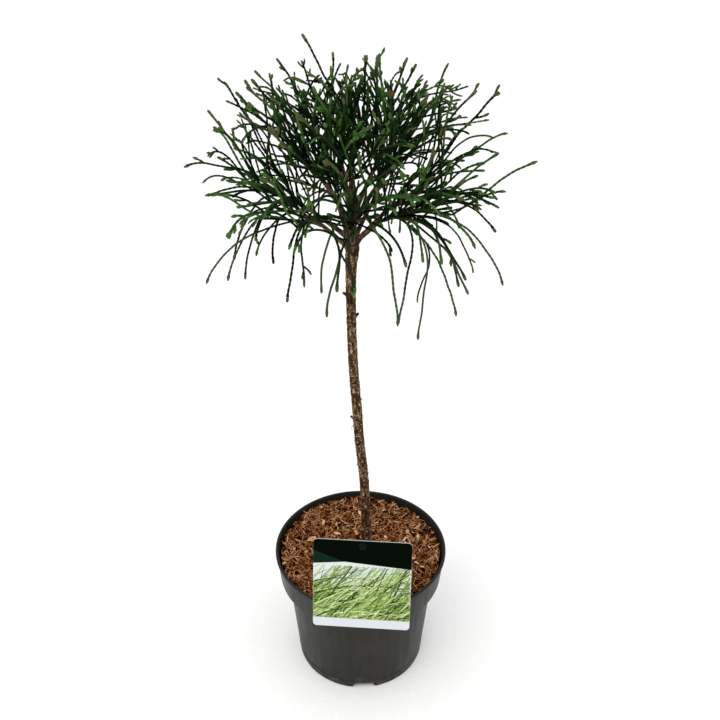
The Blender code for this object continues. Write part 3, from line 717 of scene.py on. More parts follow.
masses = {}
for name, tier, index in each_mass():
    masses[name] = grow_mass(tier, index, len(masses) + 1)
solids_cords = sum(len(cords) for twigs, cords, rng in masses.values())
print("masses:", len(masses), "cords of the solids:", solids_cords)

# %% Finer cords
FINE_CLEAR = 0.0012
OVER_EDGE = 13.0
FINE_FALLING = 0.45
FINE_ARCH = (0.0, 0.9)
FINE_TURN = math.radians(52)
FRONT_FALLING = 21.0
FALLING_ASIDE = 26.0
FINE_REACH = 0.96
# Strong cords that the picture shows at the crown's front: azimuth, reach and angle above the fork
FRONT_CORDS = (
    (273, 0.112, 42), (287, 0.118, 39), (338, 0.128, 69), (307, 0.130, 39), (295, 0.108, 10), (292, 0.092, 16),
    (300, 0.118, 12), (307, 0.124, 10), (313, 0.148, 15), (249, 0.128, 18), (248, 0.112, 25), (331, 0.140, 28),
    (333, 0.148, 27), (264, 0.108, 1), (230, 0.155, 19), (321, 0.130, 30),
)
# Front cords that arch over from above: azimuth, reach and angle above the fork
FRONT_ARCHES = (
    (284, 0.120, 39), (280, 0.105, 31), (273, 0.095, 27), (289, 0.118, 36), (287, 0.125, 43), (278, 0.110, 38),
    (283, 0.112, 35), (291, 0.122, 41), (297, 0.125, 44), (305, 0.130, 41), (301, 0.105, 25), (292, 0.115, 32),
    (281, 0.120, 44), (287, 0.100, 28), (276, 0.100, 35), (297, 0.122, 36),
)


def add_fine_cords(tier, azimuth, twigs, cords, rng):
    """Goes on with the strong front cords and then finer ones, which may fork off cords and reach over the
    wedge's edge. Gives back how many of the cords are strong."""
    carriers = twigs + cords

    def keep(goal, angle, falling):
        arch = rng.uniform(*FINE_ARCH)
        curve = grow_cord(goal, angle, falling, arch, FINE_TURN, carriers, cords, rng)
        if curve is None or not clear_of_limbs(curve, FINE_CLEAR):
            return False
        turns = [math.degrees(math.atan2(point[1], point[0])) for point in curve[[0, 3]] - FORK]
        if not cells_free(curve) or (falling and degrees_aside(*turns) > FALLING_ASIDE):
            return False
        cords.append(curve)
        take_cells(curve)
        return True

    grow_to_listed(FRONT_CORDS + FRONT_ARCHES, tier, azimuth,
                   lambda number, angle: number >= len(FRONT_CORDS) or angle < FRONT_FALLING, keep)
    strong = len(cords)
    for attempt in range(tier.fine * TRIES):
        if len(cords) < strong + tier.fine:
            keep(*draw_goal(tier, azimuth, OVER_EDGE, FINE_FALLING, FINE_REACH, rng))
    return strong


for twigs, cords, rng in masses.values():
    for curve in twigs + cords:
        take_cells(curve)
strong_cords = {name: add_fine_cords(tier, azimuth_of(tier, index), *masses[name])
                for name, tier, index in each_mass()}
print("strong cords:", sum(strong_cords.values()),
      "cords in all:", sum(len(cords) for twigs, cords, rng in masses.values()))

# %% [markdown]
# ## A cord clothed in scale leaves
# Each cord is hidden by pairs of small scale leaves pressed to it, every pair turned a quarter from the last.
# A mesh for every leaf would take a hundred times the faces, and a leaf swells towards its tip and ends in a
# step, which a tube can show as a saw-tooth: the radius at turn a and distance s is
# R(s) (0.80 + 0.40 (cos^2 a saw(s) + sin^2 a saw(s + one pair))), and the ring under a leaf's tip is drawn
# forward in its middle. Towards the cord's own tip R grows to a club.

# %% Lines in space
STRAIGHT = 0.05
WOBBLE = (0.00012, 0.017, 0.0007, 0.049)
WOBBLE_GROWS = 0.02
WOBBLE_SHARE = (0.5, 1.2)


def smooth_step(share):
    """3 s^2 - 2 s^3, which leaves 0 and reaches 1 with no slope."""
    return share * share * (3 - 2 * share)


def frame_along(line):
    """Tangents and two directions square to them, the first towards the normal of the line's own bend."""
    tangent = unit(np.gradient(line, axis=0))
    bend = np.cross(tangent[0], tangent[-1])
    if np.linalg.norm(bend) < STRAIGHT:
        bend = np.cross(tangent[0], np.eye(3)[np.abs(tangent[0]).argmin()])
    across = unit(bend - (tangent @ bend)[:, None] * tangent)
    return tangent, across, np.cross(tangent, across)


def measure(line):
    """The distance along the line to each of its points."""
    return np.concatenate([[0.0], np.cumsum(np.linalg.norm(np.diff(line, axis=0), axis=1))])


def place_on(line, far, at):
    """Points of the line at these distances along it."""
    return np.stack([np.interp(at, far, line[:, axis]) for axis in range(3)], axis=1)


def wobbled(line, rng):
    """The line with a short and a long sine wave added square to it, which grow from nothing at its root."""
    tangent, across, beside = frame_along(line)
    far = measure(line)
    short, short_wave, long, long_wave = WOBBLE
    grow = np.minimum(1.0, far / WOBBLE_GROWS) * rng.uniform(*WOBBLE_SHARE)
    phase = rng.uniform(0, 2 * math.pi, 4)
    first, second = (short * np.sin(2 * math.pi * far / short_wave + phase[number])
                     + long * np.sin(2 * math.pi * far / long_wave + phase[number + 1]) for number in (0, 2))
    return line + (grow * first)[:, None] * across + (grow * second)[:, None] * beside


print("length of the trunk's line:", round(float(measure(trunk_line()[0])[-1]), 4))

# %% Cord surface
CORD_SIDES = 8
CORD_RADIUS = 0.00092
CLUB_RADIUS = 0.00132
CLUB_LENGTH = 0.010
FINE_CLUB = 0.00114
FINE_CLUB_LENGTH = 0.0062
CLUB_SWELL = 0.7
TIP_ROUND = 0.0022
TIP_CUT = 0.96
LEAF_STEP = 0.0024
FEWEST_PAIRS = 3
TIP_PLACE = 0.8
LEAF_FOOT = 0.80
LEAF_RISE = 0.40
LEAF_POINT = 0.0006
POINT_SHARE = 0.4


def cord_rings(line, club, club_length, slim, rng):
    """The rings of one cord, how far along it each lies, and their middles: two rings to every pair of leaves,
    at its foot and under its tip."""
    far = measure(line)
    length = far[-1]
    pairs = max(FEWEST_PAIRS, int(round(length / LEAF_STEP)))
    pair = np.append(np.repeat(np.arange(pairs), 2), pairs)
    under_tip = np.append(np.tile([0.0, TIP_PLACE], pairs), 0.0)
    at = (pair + under_tip) * (length / pairs)
    at[-1] = length
    points = place_on(line, far, at)
    tangent, across, beside = frame_along(points)
    turn = circle(CORD_SIDES)
    facing = np.cos(turn) ** 2
    flank = np.sin(turn) ** 2
    saw = ((pair % 2) + under_tip) / 2
    other_saw = (((pair + 1) % 2) + under_tip) / 2
    swell = smooth_step(np.clip((at - length + club_length) / (CLUB_SWELL * club_length), 0, 1))
    nose = np.clip((at - length + TIP_ROUND) / TIP_ROUND, 0, TIP_CUT)
    radius = slim * (CORD_RADIUS + (club - CORD_RADIUS) * swell) * np.sqrt(1 - nose * nose)
    relief = LEAF_FOOT + LEAF_RISE * (saw[:, None] * facing + other_saw[:, None] * flank)
    ended = np.where(under_tip > 0, 1.0, 0.0)[:, None]
    forward = LEAF_POINT * ended * np.where((pair % 2 == 1)[:, None], facing ** 2, flank ** 2)
    ways = ring_ways(turn + rng.uniform(0, 2 * math.pi), across, beside)
    rings = points[:, None] + (radius[:, None] * relief)[..., None] * ways
    rings += np.minimum(forward, POINT_SHARE * radius[:, None])[..., None] * tangent[:, None]
    return rings, at / length, points


print("pairs of leaves on 60 mm of cord:", round(0.060 / LEAF_STEP))

# %% [markdown]
# ## Greens by place
# Deep in the crown the cords are painted nearly black, as painted shade of the crown's inside; farther out they
# are a fresh dark green or olive, those that hang are duller, and their clubbed tips are lighter, some olive or
# bronze. One noise over all could vary the green, but it would colour neighbours alike. Here a colour is dealt
# out to each stretch of a spray by how far out it lies, which paints the shade, and by the spray's own tone, so
# each leaf colour is a plain material of its own.

# %% Leaf materials
# Living scale leaves are opaque under a thin wax, so they look matt and even, with a breath of gloss. The
# greens from shade to fresh are dealt by depth, so the darkest are painted shade of the crown's inside.
LEAF_COLOURS = {
    "scale_leaf_painted_shade": "#020a02",
    "scale_leaf_painted_deep_shade": "#0a1c07",
    "scale_leaf_dark": "#1c3013",
    "scale_leaf_green": "#2b481e",
    "scale_leaf_fresh": "#41602b",
    "scale_leaf_olive": "#444b2a",
    "scale_leaf_hanging": "#39492f",
    "scale_leaf_falling": "#1f291b",
    "scale_tip_green": "#3d522b",
    "scale_tip_olive": "#4c5133",
    "scale_tip_bronze": "#4f462b",
}
leaf_materials = [new_material(name, code, 0.6, 0.02) for name, code in LEAF_COLOURS.items()]
SHADE, INNER_PAINTED_SHADE, DARK, GREEN, FRESH, OLIVE, HANGING, FALLING, TIP_GREEN, TIP_OLIVE, TIP_BRONZE = range(
    len(leaf_materials))
# Painted shade: a stretch's depth, its distance from the crown's heart over this reach, steps its green darker
# inwards.
CROWN_HEART = FORK + np.array([0.0, 0.0, 0.050])
HEART_REACH = np.array([0.140, 0.116, 0.128])
DEPTH_KINDS = 3.6
DEPTH_START = 0.95
HANGING_BELOW = FORK[2] + 0.036
OLIVE_ABOVE = FORK[2] + 0.080
TIP_COLOUR = 0.005
INNER_TIP = 0.82
print("leaf colours:", len(leaf_materials))


def leaf_kinds(points, share, length, tone, tip_kind):
    """A colour number for each stretch: round(3.6 depth - 0.95 + the spray's tone), so that painted shade
    darkens it towards the crown's heart, and its tip lighter.
    """
    middle = 0.5 * (points[1:] + points[:-1])
    depth = np.linalg.norm((middle - CROWN_HEART) / HEART_REACH, axis=1)
    kinds = np.clip(np.round(DEPTH_KINDS * depth - DEPTH_START + tone), SHADE, FRESH).astype(int)
    if tip_kind in (TIP_OLIVE, TIP_BRONZE):
        kinds[(kinds >= GREEN) & (middle[:, 2] > OLIVE_ABOVE)] = OLIVE
    below = middle[:, 2] < HANGING_BELOW
    duller = np.where(kinds > DARK, HANGING, np.where(kinds == DARK, FALLING, kinds))
    kinds = np.where(below, duller, kinds)
    to_tip = (1 - share[1:]) * length
    kinds[to_tip < TIP_COLOUR] = tip_kind if depth[-1] > INNER_TIP else min(kinds[-1] + 1, FRESH)
    return kinds


# %% [markdown]
# ## Forked tips
# Near its end a cord sends off short branchlets, to the left and right in turn, each with its own club. They
# make the knobbly edge of the crown's top, and the long falling cords have few. Copies of one forked tip would
# look alike, so every branchlet is drawn along its own cord, as a small cord in the same way.

# %% Side branchlets
SPUR_POINTS = 9
SPUR_COUNTS = ((-20, 25, 60), (0.15, 0.7, 2.1))
MOST_SPURS = 6
LAST_SPUR = 0.96
SPUR_SPAN = 0.48
SPUR_BUNCH = 1.8
SPUR_ANGLE = (32.0, 56.0)
SPUR_STRAY = 0.45
SPUR_LENGTH = (0.005, 0.017)
SPUR_SHORTENS = (1.35, 0.75)
SPUR_BEND = 0.35


def grow_spurs(line, angle, rng):
    """Short side branchlets of a cord, which leave it at an acute angle and turn along it:
    start + l t leaving + 0.35 l t^2 (the cord's way - leaving)."""
    far = measure(line)
    tangent, across, beside = frame_along(line)
    count = min(rng.poisson(np.interp(angle, *SPUR_COUNTS)), MOST_SPURS)
    flat = rng.uniform(0, 2 * math.pi)
    spurs = []
    for number, share in enumerate(np.sort(LAST_SPUR - SPUR_SPAN * rng.random(count) ** SPUR_BUNCH)):
        start = place_on(line, far, np.array([far[-1] * share]))[0]
        nearest = min(int(share * (len(line) - 1)), len(line) - 1)
        way = tangent[nearest]
        turn = flat + math.pi * (number % 2) + rng.normal(0, SPUR_STRAY)
        side = math.cos(turn) * across[nearest] + math.sin(turn) * beside[nearest]
        lean = math.radians(rng.uniform(*SPUR_ANGLE))
        leaving = math.cos(lean) * way + math.sin(lean) * side
        length = rng.uniform(*SPUR_LENGTH) * (SPUR_SHORTENS[0] - SPUR_SHORTENS[1] * share)
        t = np.linspace(0, 1, SPUR_POINTS)[:, None]
        spurs.append(start + leaving * length * t + (way - leaving) * length * SPUR_BEND * t * t)
    return spurs


print("side branchlets on a cord at -20, 25 and 60 degrees, on average:", *SPUR_COUNTS[1])

# %% Clothe every mass
CORD_SAMPLES = 49
TWIG_SLIM = 1.15
TWIG_TONE = 0.4
TIP_KINDS = {FRESH: 0.30, TIP_GREEN: 0.37, TIP_OLIVE: 0.28, TIP_BRONZE: 0.05}
CLUB_STRAY = (0.85, 1.1)
STRONG_SLIM = (0.96, 1.14)
FINE_SLIM = (0.82, 0.98)
SPUR_SLIM = 0.97
SPUR_CLUB = 0.6
SPUR_TONE = 0.3


def clothe(line, club, club_length, slim, tone, tip_kind, rng):
    """One cord's surface with a colour for each stretch."""
    rings, share, points = cord_rings(line, club, club_length, slim, rng)
    return tube_part(rings, leaf_kinds(points, share, measure(line)[-1], tone, tip_kind))


for name, (twigs, cords, rng) in masses.items():
    parts = []
    for twig in twigs:
        line = along(twig, CORD_SAMPLES)[CORD_SAMPLES // 3:]
        rings, share, points = cord_rings(line, CLUB_RADIUS, CLUB_LENGTH, TWIG_SLIM, rng)
        kinds = leaf_kinds(points, share, measure(line)[-1], rng.normal(0, TWIG_TONE), TIP_GREEN)
        parts.append(tube_part(rings, kinds))
    for order, cord in enumerate(cords):
        line = wobbled(along(cord, CORD_SAMPLES), rng)
        offset = cord[3] - FORK
        angle = math.degrees(math.atan2(offset[2], math.hypot(offset[0], offset[1])))
        tone = rng.normal(0.0, 1.0)
        tip_kind = rng.choice(list(TIP_KINDS), p=list(TIP_KINDS.values()))
        strong = order < strong_cords[name]
        club = (CLUB_RADIUS if strong else FINE_CLUB) * rng.uniform(*CLUB_STRAY)
        club_length = CLUB_LENGTH if strong else FINE_CLUB_LENGTH
        slim = rng.uniform(*(STRONG_SLIM if strong else FINE_SLIM))
        parts.append(clothe(line, club, club_length, slim, tone, tip_kind, rng))
        for spur in grow_spurs(line, angle, rng):
            parts.append(clothe(spur, club, SPUR_CLUB * club_length, slim * SPUR_SLIM, tone + SPUR_TONE,
                                tip_kind, rng))
    sprays = make_piece(f"sprays_{name}", parts, leaf_materials)
    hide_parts(f"foliage_{name}")

# %% [markdown]
# ## Bark
# The trunk's bark is thin and flaky: long narrow plates, paler where they lift, with dark cracks between. A
# displacement over a noise could raise it, but would stretch and fold at the fork. Here the height comes from
# smooth random lattices that close round the stem, stretched along it. The same height is kept as an
# attribute, so that the colour follows the relief: dark in the cracks, tan on the plates.

# %% Bark height
PLATE_WIDTH = 0.0022
FEWEST_PLATES = 5
STRAY_PITCH = 0.009
PLATE_PITCH = 0.0042
CRACK_PITCH = 0.0090
FLECK_PITCH = 0.0013
PLATE_EDGE = (0.34, 0.22)
CRACK_WIDTH = 0.4
# What plates, cracks and flecks add to the height, and what is taken off their sum
BARK_SHARES = (0.34, 0.26, 0.55)
BARK_LESS = 0.10


def lattice_noise(around, far, columns, pitch, seed):
    """Random values on a lattice that closes round the stem, blended smoothly between four neighbours."""
    lattice = np.random.default_rng([SEED, seed]).random((int(far.max() / pitch) + 3, columns))
    x = around * columns
    y = far / pitch
    left = np.floor(x).astype(int)
    low = np.floor(y).astype(int)
    across, upward = smooth_step(x - left), smooth_step(y - low)
    left %= columns
    right = (left + 1) % columns
    bottom = lattice[low, left] * (1 - across) + lattice[low, right] * across
    top = lattice[low + 1, left] * (1 - across) + lattice[low + 1, right] * across
    return bottom * (1 - upward) + top * upward


def bark_height(around, far, girth, seed):
    """From 0 to 1: plates, a noise cut by a steep step, with cracks where another noise is near its middle,
    and flecks."""
    broad = max(FEWEST_PLATES, int(round(girth / PLATE_WIDTH)))
    bent = (around + 0.5 * lattice_noise(around, far, broad, STRAY_PITCH, seed) / broad) % 1.0
    plate_noise = lattice_noise(bent, far, broad, PLATE_PITCH, seed + 1)
    plates = np.clip((plate_noise - PLATE_EDGE[0]) / PLATE_EDGE[1], 0, 1)
    crack_noise = lattice_noise(bent, far, broad, CRACK_PITCH, seed + 2)
    cracks = np.clip(np.abs(2 * crack_noise - 1) / CRACK_WIDTH, 0, 1)
    flecks = lattice_noise(around, far, 2 * broad, FLECK_PITCH, seed + 3)
    shares = BARK_SHARES
    return np.clip(shares[0] * plates + shares[1] * cracks + shares[2] * flecks - BARK_LESS, 0, 1)


print("plates round a stem of 5 mm radius:", round(2 * math.pi * 0.005 / PLATE_WIDTH))

# %% Limbs with bark
BARK_LEVEL = 0.6
SIDEWAYS = 0.8


def limb_part(line, radii, sides, ring_step, relief, seed, kind=0):
    """A tube along the line whose radius is its own plus the bark's height: its rings, and that height."""
    far = measure(line)
    at = np.linspace(0, far[-1], max(4, int(far[-1] / ring_step)))
    points = place_on(line, far, at)
    radius = np.interp(at, far, radii)
    tangent = unit(np.gradient(points, axis=0))
    aim = np.eye(3)[int(np.abs(tangent[:, 0]).max() >= SIDEWAYS)]
    across = unit(aim - (tangent @ aim)[:, None] * tangent)
    share = np.arange(sides) / sides
    around, lengthwise = np.meshgrid(share, at)
    height = bark_height(around, lengthwise, 2 * math.pi * float(radius.mean()), seed)
    ways = ring_ways(2 * math.pi * share, across, np.cross(tangent, across))
    rings = points[:, None] + (radius[:, None] + relief * (height - BARK_LEVEL))[..., None] * ways
    return tube_part(rings, kind), height.ravel()


def make_barked(name, made, materials):
    """A piece of many limbs that keeps the bark's height on every point, for the material to read."""
    piece = make_piece(name, [part for part, height in made], materials)
    layer = piece.data.attributes.new("bark_height", "FLOAT", "POINT")
    layer.data.foreach_set("value", np.concatenate([height for part, height in made]).astype(np.float32))
    return piece


print("bark of this height is neither raised nor sunk:", BARK_LEVEL)

# %% Bark materials
# Grains to a metre across and along the stem: 1.5 mm wide and 6 mm long
BARK_GRAIN = (650.0, 650.0, 170.0)
GRAIN_SHARE = 0.75
GRAIN_MIDDLE = 0.36
DAMP_UNDER = 0.155
DRY_ABOVE = 0.225
GRAIN_RELIEF = 0.0004


def bark_material(name, stops, roughness, bump, damp="#ffffff"):
    """Bark coloured by the sum of its height and a stretched noise, times a tint near the soil."""
    material = new_material(name, stops[1][1], roughness, 0.12)
    node = partial(add_node, material)
    place = node("TexCoord").outputs["Object"]
    grain = node("Mapping", {"Vector": place, "Scale": BARK_GRAIN})
    noise = node("TexNoise", {"Vector": grain, "Scale": 1.0, "Detail": 5.0, "Roughness": 0.65})
    height = node("Attribute", attribute_name="bark_height").outputs["Fac"]
    mixed = node("Math", {0: noise, 1: GRAIN_SHARE, 2: height}, operation="MULTIPLY_ADD")
    centred = node("Math", {0: mixed, 1: GRAIN_MIDDLE}, operation="SUBTRACT")
    ramp = node("ValToRGB", {"Fac": centred}, stops)
    up = node("SeparateXYZ", {"Vector": place}).outputs["Z"]
    dry = node("MapRange", {"Value": up, "From Min": DAMP_UNDER, "From Max": DRY_ABOVE})
    tint = node("ValToRGB", {"Fac": dry}, ((0.0, damp), (1.0, "#ffffff")))
    feed(material, "Base Color", node("VectorMath", {0: ramp, 1: tint}, operation="MULTIPLY"))
    feed(material, "Normal", node("Bump", {"Height": noise, "Strength": bump, "Distance": GRAIN_RELIEF}))
    return material


# Dry cork in thin plates: matt, dark in its cracks, grey-tan where it flakes, and redder just above the soil,
# which keeps it damp.
trunk_bark = bark_material("flaking_stem_bark", (
    (0.12, "#170c05"), (0.42, "#33200f"), (0.64, "#4f3823"), (0.84, "#70583f"), (0.98, "#a6927a"),
), roughness=0.9, bump=0.7, damp="#c4aca4")
# First-year cork: smooth and red-brown, with a faint sheen.
bough_bark = bark_material("young_red_bark", (
    (0.10, "#1b110a"), (0.45, "#3a271a"), (0.75, "#543d2a"), (0.95, "#725c45"),
), roughness=0.75, bump=0.4)
# Living rind that shows through a skin of cork: green-brown and smoother still, and darker than the boughs as
# painted shade under the foliage.
outer_bark_painted_shade = bark_material("green_brown_outer_bark_painted_shade", (
    (0.10, "#100f07"), (0.45, "#241d10"), (0.75, "#3a3119"), (0.95, "#575033"),
), roughness=0.7, bump=0.3)
print("barks:", trunk_bark.name, bough_bark.name, outer_bark_painted_shade.name)

# %% [markdown]
# ## The trunk
# The centre line passes smoothly through the growth rule's rows. The foot flares in low ribs where roots
# begin, the graft below the crown is swollen and lumpy, and the four cut stubs of old side twigs stand off the
# bark. It could be sculpted by hand, but sines added to the radius give ribs and lumps that a number can move.

# %% The trunk's line
TRUNK_STEPS = 400


def smooth_through(rows, steps):
    """A Catmull-Rom curve through the rows: on each span a cubic whose ends have the neighbours' slope."""
    padded = np.concatenate([[2 * rows[0] - rows[1]], rows, [2 * rows[-1] - rows[-2]]])
    t = np.linspace(0, len(rows) - 1, steps)
    span = np.minimum(t.astype(int), len(rows) - 2)
    t = (t - span)[:, None]
    p0, p1, p2, p3 = (padded[span + shift] for shift in range(4))
    return 0.5 * (2 * p1 + (p2 - p0) * t + (2 * p0 - 5 * p1 + 4 * p2 - p3) * t ** 2
                  + (3 * p1 - p0 - 3 * p2 + p3) * t ** 3)


trunk_curve = smooth_through(np.column_stack(trunk_line()), TRUNK_STEPS)


def trunk_at(level):
    """The trunk's sideways and backward place, its height and its radius, at these levels."""
    return [np.interp(level, trunk_curve[:, 2], trunk_curve[:, axis]) for axis in range(4)]


print("the trunk's radius half way up:", round(float(trunk_at(0.35)[3]), 4))

# %% Trunk
TRUNK_SIDES = 56
TRUNK_RING = 0.0006
TRUNK_RELIEF = 0.00075
RIBS = 5
RIB_SIZE = 0.16
RIB_FADE = 0.007
RIB_TURN = 0.8
GRAFT_LEVEL = 0.508
GRAFT_SPREAD = 0.017
GRAFT_SIZE = 0.10
# The graft's waves: size, lumps round the stem, and turn in radians to a metre of height
GRAFT_WAVES = ((1.0, 3, 40), (0.6, 5, -130))
# Cut stubs: height and azimuth
SNAGS = ((0.205, 205.0), (0.318, 170.0), (0.438, 20.0), (0.462, 190.0))
SNAG_LENGTH = 0.0045
SNAG_RADIUS = 0.0019
SNAG_RISE = 35.0
SNAG_NECK = 0.0012
SNAG_TAPER = (1.5, 1.25, 0.85, 0.65)
SNAG_POINTS = 9
SNAG_SIDES = 14
SNAG_RING = 0.0004
SNAG_RELIEF = 0.0004
part, height = limb_part(trunk_curve[:, :3], trunk_curve[:, 3], TRUNK_SIDES, TRUNK_RING, TRUNK_RELIEF, 40)
rings = part[0].reshape(-1, TRUNK_SIDES, 3)
centre = rings.mean(axis=1, keepdims=True)
up = centre[:, :, 2]
turn = circle(TRUNK_SIDES)
ribs = 1 + RIB_SIZE * np.exp(-(up - MOUND_HEIGHT) / RIB_FADE) * np.cos(RIBS * turn + RIB_TURN)[None]
waves = sum(size * np.sin(count * turn + twist * up) for size, count, twist in GRAFT_WAVES)
lumps = 1 + GRAFT_SIZE * np.exp(-((up - GRAFT_LEVEL) / GRAFT_SPREAD) ** 2) * waves
rings = centre + (rings - centre) * (ribs * lumps)[..., None]
rings[:, :, 2] = np.maximum(rings[:, :, 2], MOUND_HEIGHT + GAP)
trunk_limbs = [((rings.reshape(-1, 3),) + part[1:], height)]
for number, (level, azimuth) in enumerate(SNAGS):
    *middle, bark = trunk_at(level)
    marks = (0.5 * bark, bark, bark + SNAG_NECK, bark + SNAG_LENGTH)
    reach = np.linspace(marks[0], marks[-1], SNAG_POINTS)
    line = np.array(middle) + reach[:, None] * ray(azimuth, SNAG_RISE)
    radii = SNAG_RADIUS * np.interp(reach, marks, SNAG_TAPER)
    trunk_limbs.append(limb_part(line, radii, SNAG_SIDES, SNAG_RING, SNAG_RELIEF, 50 + 4 * number))
trunk = make_barked("bark_trunk", trunk_limbs, [trunk_bark])
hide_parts("trunk")

# %% [markdown]
# ## Lifted flakes
# Old bark lets go in small flakes that curl off the stem, and here and there a longer peel hangs. Each could
# be a cut sheet with a thickness, but as a bent prism with four sides and three spans a sliver costs so little
# that thousands can lie about, the pot's bark fibre too.

# %% Slivers
def slivers(lines, across, normal, widths, depths, taper, kinds):
    """Many bent prisms at once: each line's points moved to both sides across it and along its normal."""
    flat = across * (0.5 * widths)[:, None, None] * taper[:, None]
    thick = normal * (0.5 * depths)[:, None, None] * taper[:, None]
    rings = np.stack([lines + flat, lines + thick, lines - flat, lines - thick], axis=2)
    count, steps = lines.shape[:2]
    first = 4 * steps * np.arange(count)[:, None, None]
    last = 4 * (steps - 1)
    quads = (grid_quads(steps, 4)[None] + first).reshape(-1, 4)
    caps = (np.array([[3, 2, 1, 0], [last, last + 1, last + 2, last + 3]])[None] + first).reshape(-1, 4)
    face_kinds = np.concatenate([np.repeat(kinds, last), np.repeat(kinds, 2)])
    return rings.reshape(-1, 3), quads, caps, face_kinds


def level_frame(turn):
    """Level unit directions out at these turns and square to them: (cos, sin, 0) and (-sin, cos, 0)."""
    cosine, sine, nothing = np.cos(turn), np.sin(turn), np.zeros_like(turn)
    return np.stack([cosine, sine, nothing], axis=-1), np.stack([-sine, cosine, nothing], axis=-1)


print("faces of one sliver:", len(grid_quads(4, 4)) + 2)

# %% Small flakes
FLAKE_POINTS = 4
FLAKE_HEADING = (math.pi / 2, 0.8)
FLAKE_LENGTH = (0.0016, 0.0044)
FLAKE_LIFT = (0.0002, 0.0008)
FLAKE_OFF = 0.0001
FLAKE_WIDTH = (0.0006, 0.0013)
FLAKE_DEPTH = 0.25
FLAKE_TAPER = np.array([0.9, 1.0, 0.9, 0.5])
FLAKE_SHARES = (0.38, 0.34, 0.28)


def flakes_between(count, low, high, seed):
    """Flakes whose line starts on the bark at a random place and bends off it with the square of its share."""
    rng = np.random.default_rng([SEED, seed])
    level = rng.triangular(low, 0.5 * (low + high), high, count)
    heading = rng.normal(*FLAKE_HEADING, count)[:, None]
    length = rng.uniform(*FLAKE_LENGTH, count)[:, None]
    lift = rng.uniform(*FLAKE_LIFT, count)[:, None]
    t = np.linspace(0, 1, FLAKE_POINTS)
    z = level[:, None] + t * length * np.sin(heading)
    centre_x, centre_y, _, radius = trunk_at(z)
    turn = rng.uniform(0, 2 * math.pi, count)[:, None] + t * length * np.cos(heading) / radius
    off = radius + FLAKE_OFF + lift * t * t
    out, level_way = level_frame(turn)
    lines = np.stack([centre_x + off * np.cos(turn), centre_y + off * np.sin(turn), z], axis=-1)
    across = UP * np.cos(heading)[..., None] - level_way * np.sin(heading)[..., None]
    width = rng.uniform(*FLAKE_WIDTH, count)
    kinds = rng.choice(3, size=count, p=FLAKE_SHARES)
    return slivers(lines, across, out, width, FLAKE_DEPTH * width, FLAKE_TAPER, kinds)


small_flakes = [flakes_between(430, 0.205, 0.440, seed=76), flakes_between(150, 0.160, 0.505, seed=77)]
print("points of the small flakes:", sum(len(part[0]) for part in small_flakes))

# %% Peels
# Height, azimuth and length of each, and how far a peel's points are off the bark and down its length
PEELS = ((0.312, 178.0, 0.0085), (0.262, 140.0, 0.0050), (0.345, 15.0, 0.0060), (0.232, 285.0, 0.0045))
PEEL_HANG = ((0.0, 0.0), (0.0016, -0.12), (0.0026, -0.5), (0.0024, -1.0))
PEEL_WIDTH = 0.0018
PEEL_DEPTH = 0.0005
PEEL_TAPER = np.array([1.0, 0.9, 0.7, 0.35])
lines, sides, normals = [], [], []
for level, azimuth, length in PEELS:
    out = ray(azimuth, 0.0)
    *middle, bark = trunk_at(level)
    lines.append([np.array(middle) + out * (bark + away) + UP * length * down for away, down in PEEL_HANG])
    sides.append([np.cross(UP, out)] * len(PEEL_HANG))
    normals.append([out] * len(PEEL_HANG))
peels = slivers(np.array(lines), np.array(sides), np.array(normals), np.full(len(PEELS), PEEL_WIDTH),
                np.full(len(PEELS), PEEL_DEPTH), PEEL_TAPER, np.array([2, 1, 2, 1]))
# Weathered cork is dry and matt, silvery where it has lifted, and mottled every millimetre.
FLAKE_COLOURS = {"shed_bark_grey": "#8b7b65", "shed_bark_tan": "#654d38", "shed_bark_brown": "#36230f"}
flake_materials = [mottled(name, code, roughness=0.9, specular=0.05, spread=0.2, grain=0.001, relief=0.0001)
                   for name, code in FLAKE_COLOURS.items()]
flakes = make_piece("shed_flakes", small_flakes + [peels], flake_materials, smooth=False)

# %% [markdown]
# ## Boughs and twigs
# Each bough leaves the trunk through a small collar, and runs on as its mass's stem without a joint, so both
# are one tapering limb. A skin over a skeleton could join them too, but swells where many meet. The young bark
# is red-brown near the fork, and farther out it is greener and painted darker, as painted shade under the
# foliage. Twigs leave the stem the same way, in the same darker bark, and scale leaves clothe them from a third
# of their length on.

# %% Boughs
WOOD_POINTS = 25
WOOD_SHARE = 0.75
BOUGH_POINTS = 12
BOUGH_INSIDE = 0.0025
LEADER_INSIDE = 0.004
STEM_TIP_RADIUS = 0.0010
COLLAR = 0.9
COLLAR_START = 0.002
COLLAR_REACH = 0.0035
GREEN_AND_PAINTED_SHADE_FROM = 0.62
TWIG_WOOD = 17
TWIG_RADII = (0.0014, 0.0009)
TWIG_COLLAR = 0.6
TWIG_COLLAR_REACH = 0.003
FIRST_LIMB_SEED = 100
# Sides, distance between rings and relief of the bark
BOUGH_MESH = (18, 0.0011, 0.00035)
TWIG_MESH = (12, 0.0013, 0.00025)
limbs_made = []


def add_limb(line, radii, sides, ring_step, relief, kind=0):
    """Adds a barked limb, each with four seeds of its own. Gives back its faces' material numbers."""
    seed = FIRST_LIMB_SEED + 4 * len(limbs_made)
    limbs_made.append(limb_part(line, radii, sides, ring_step, relief, seed, kind))
    return limbs_made[-1][0][3]


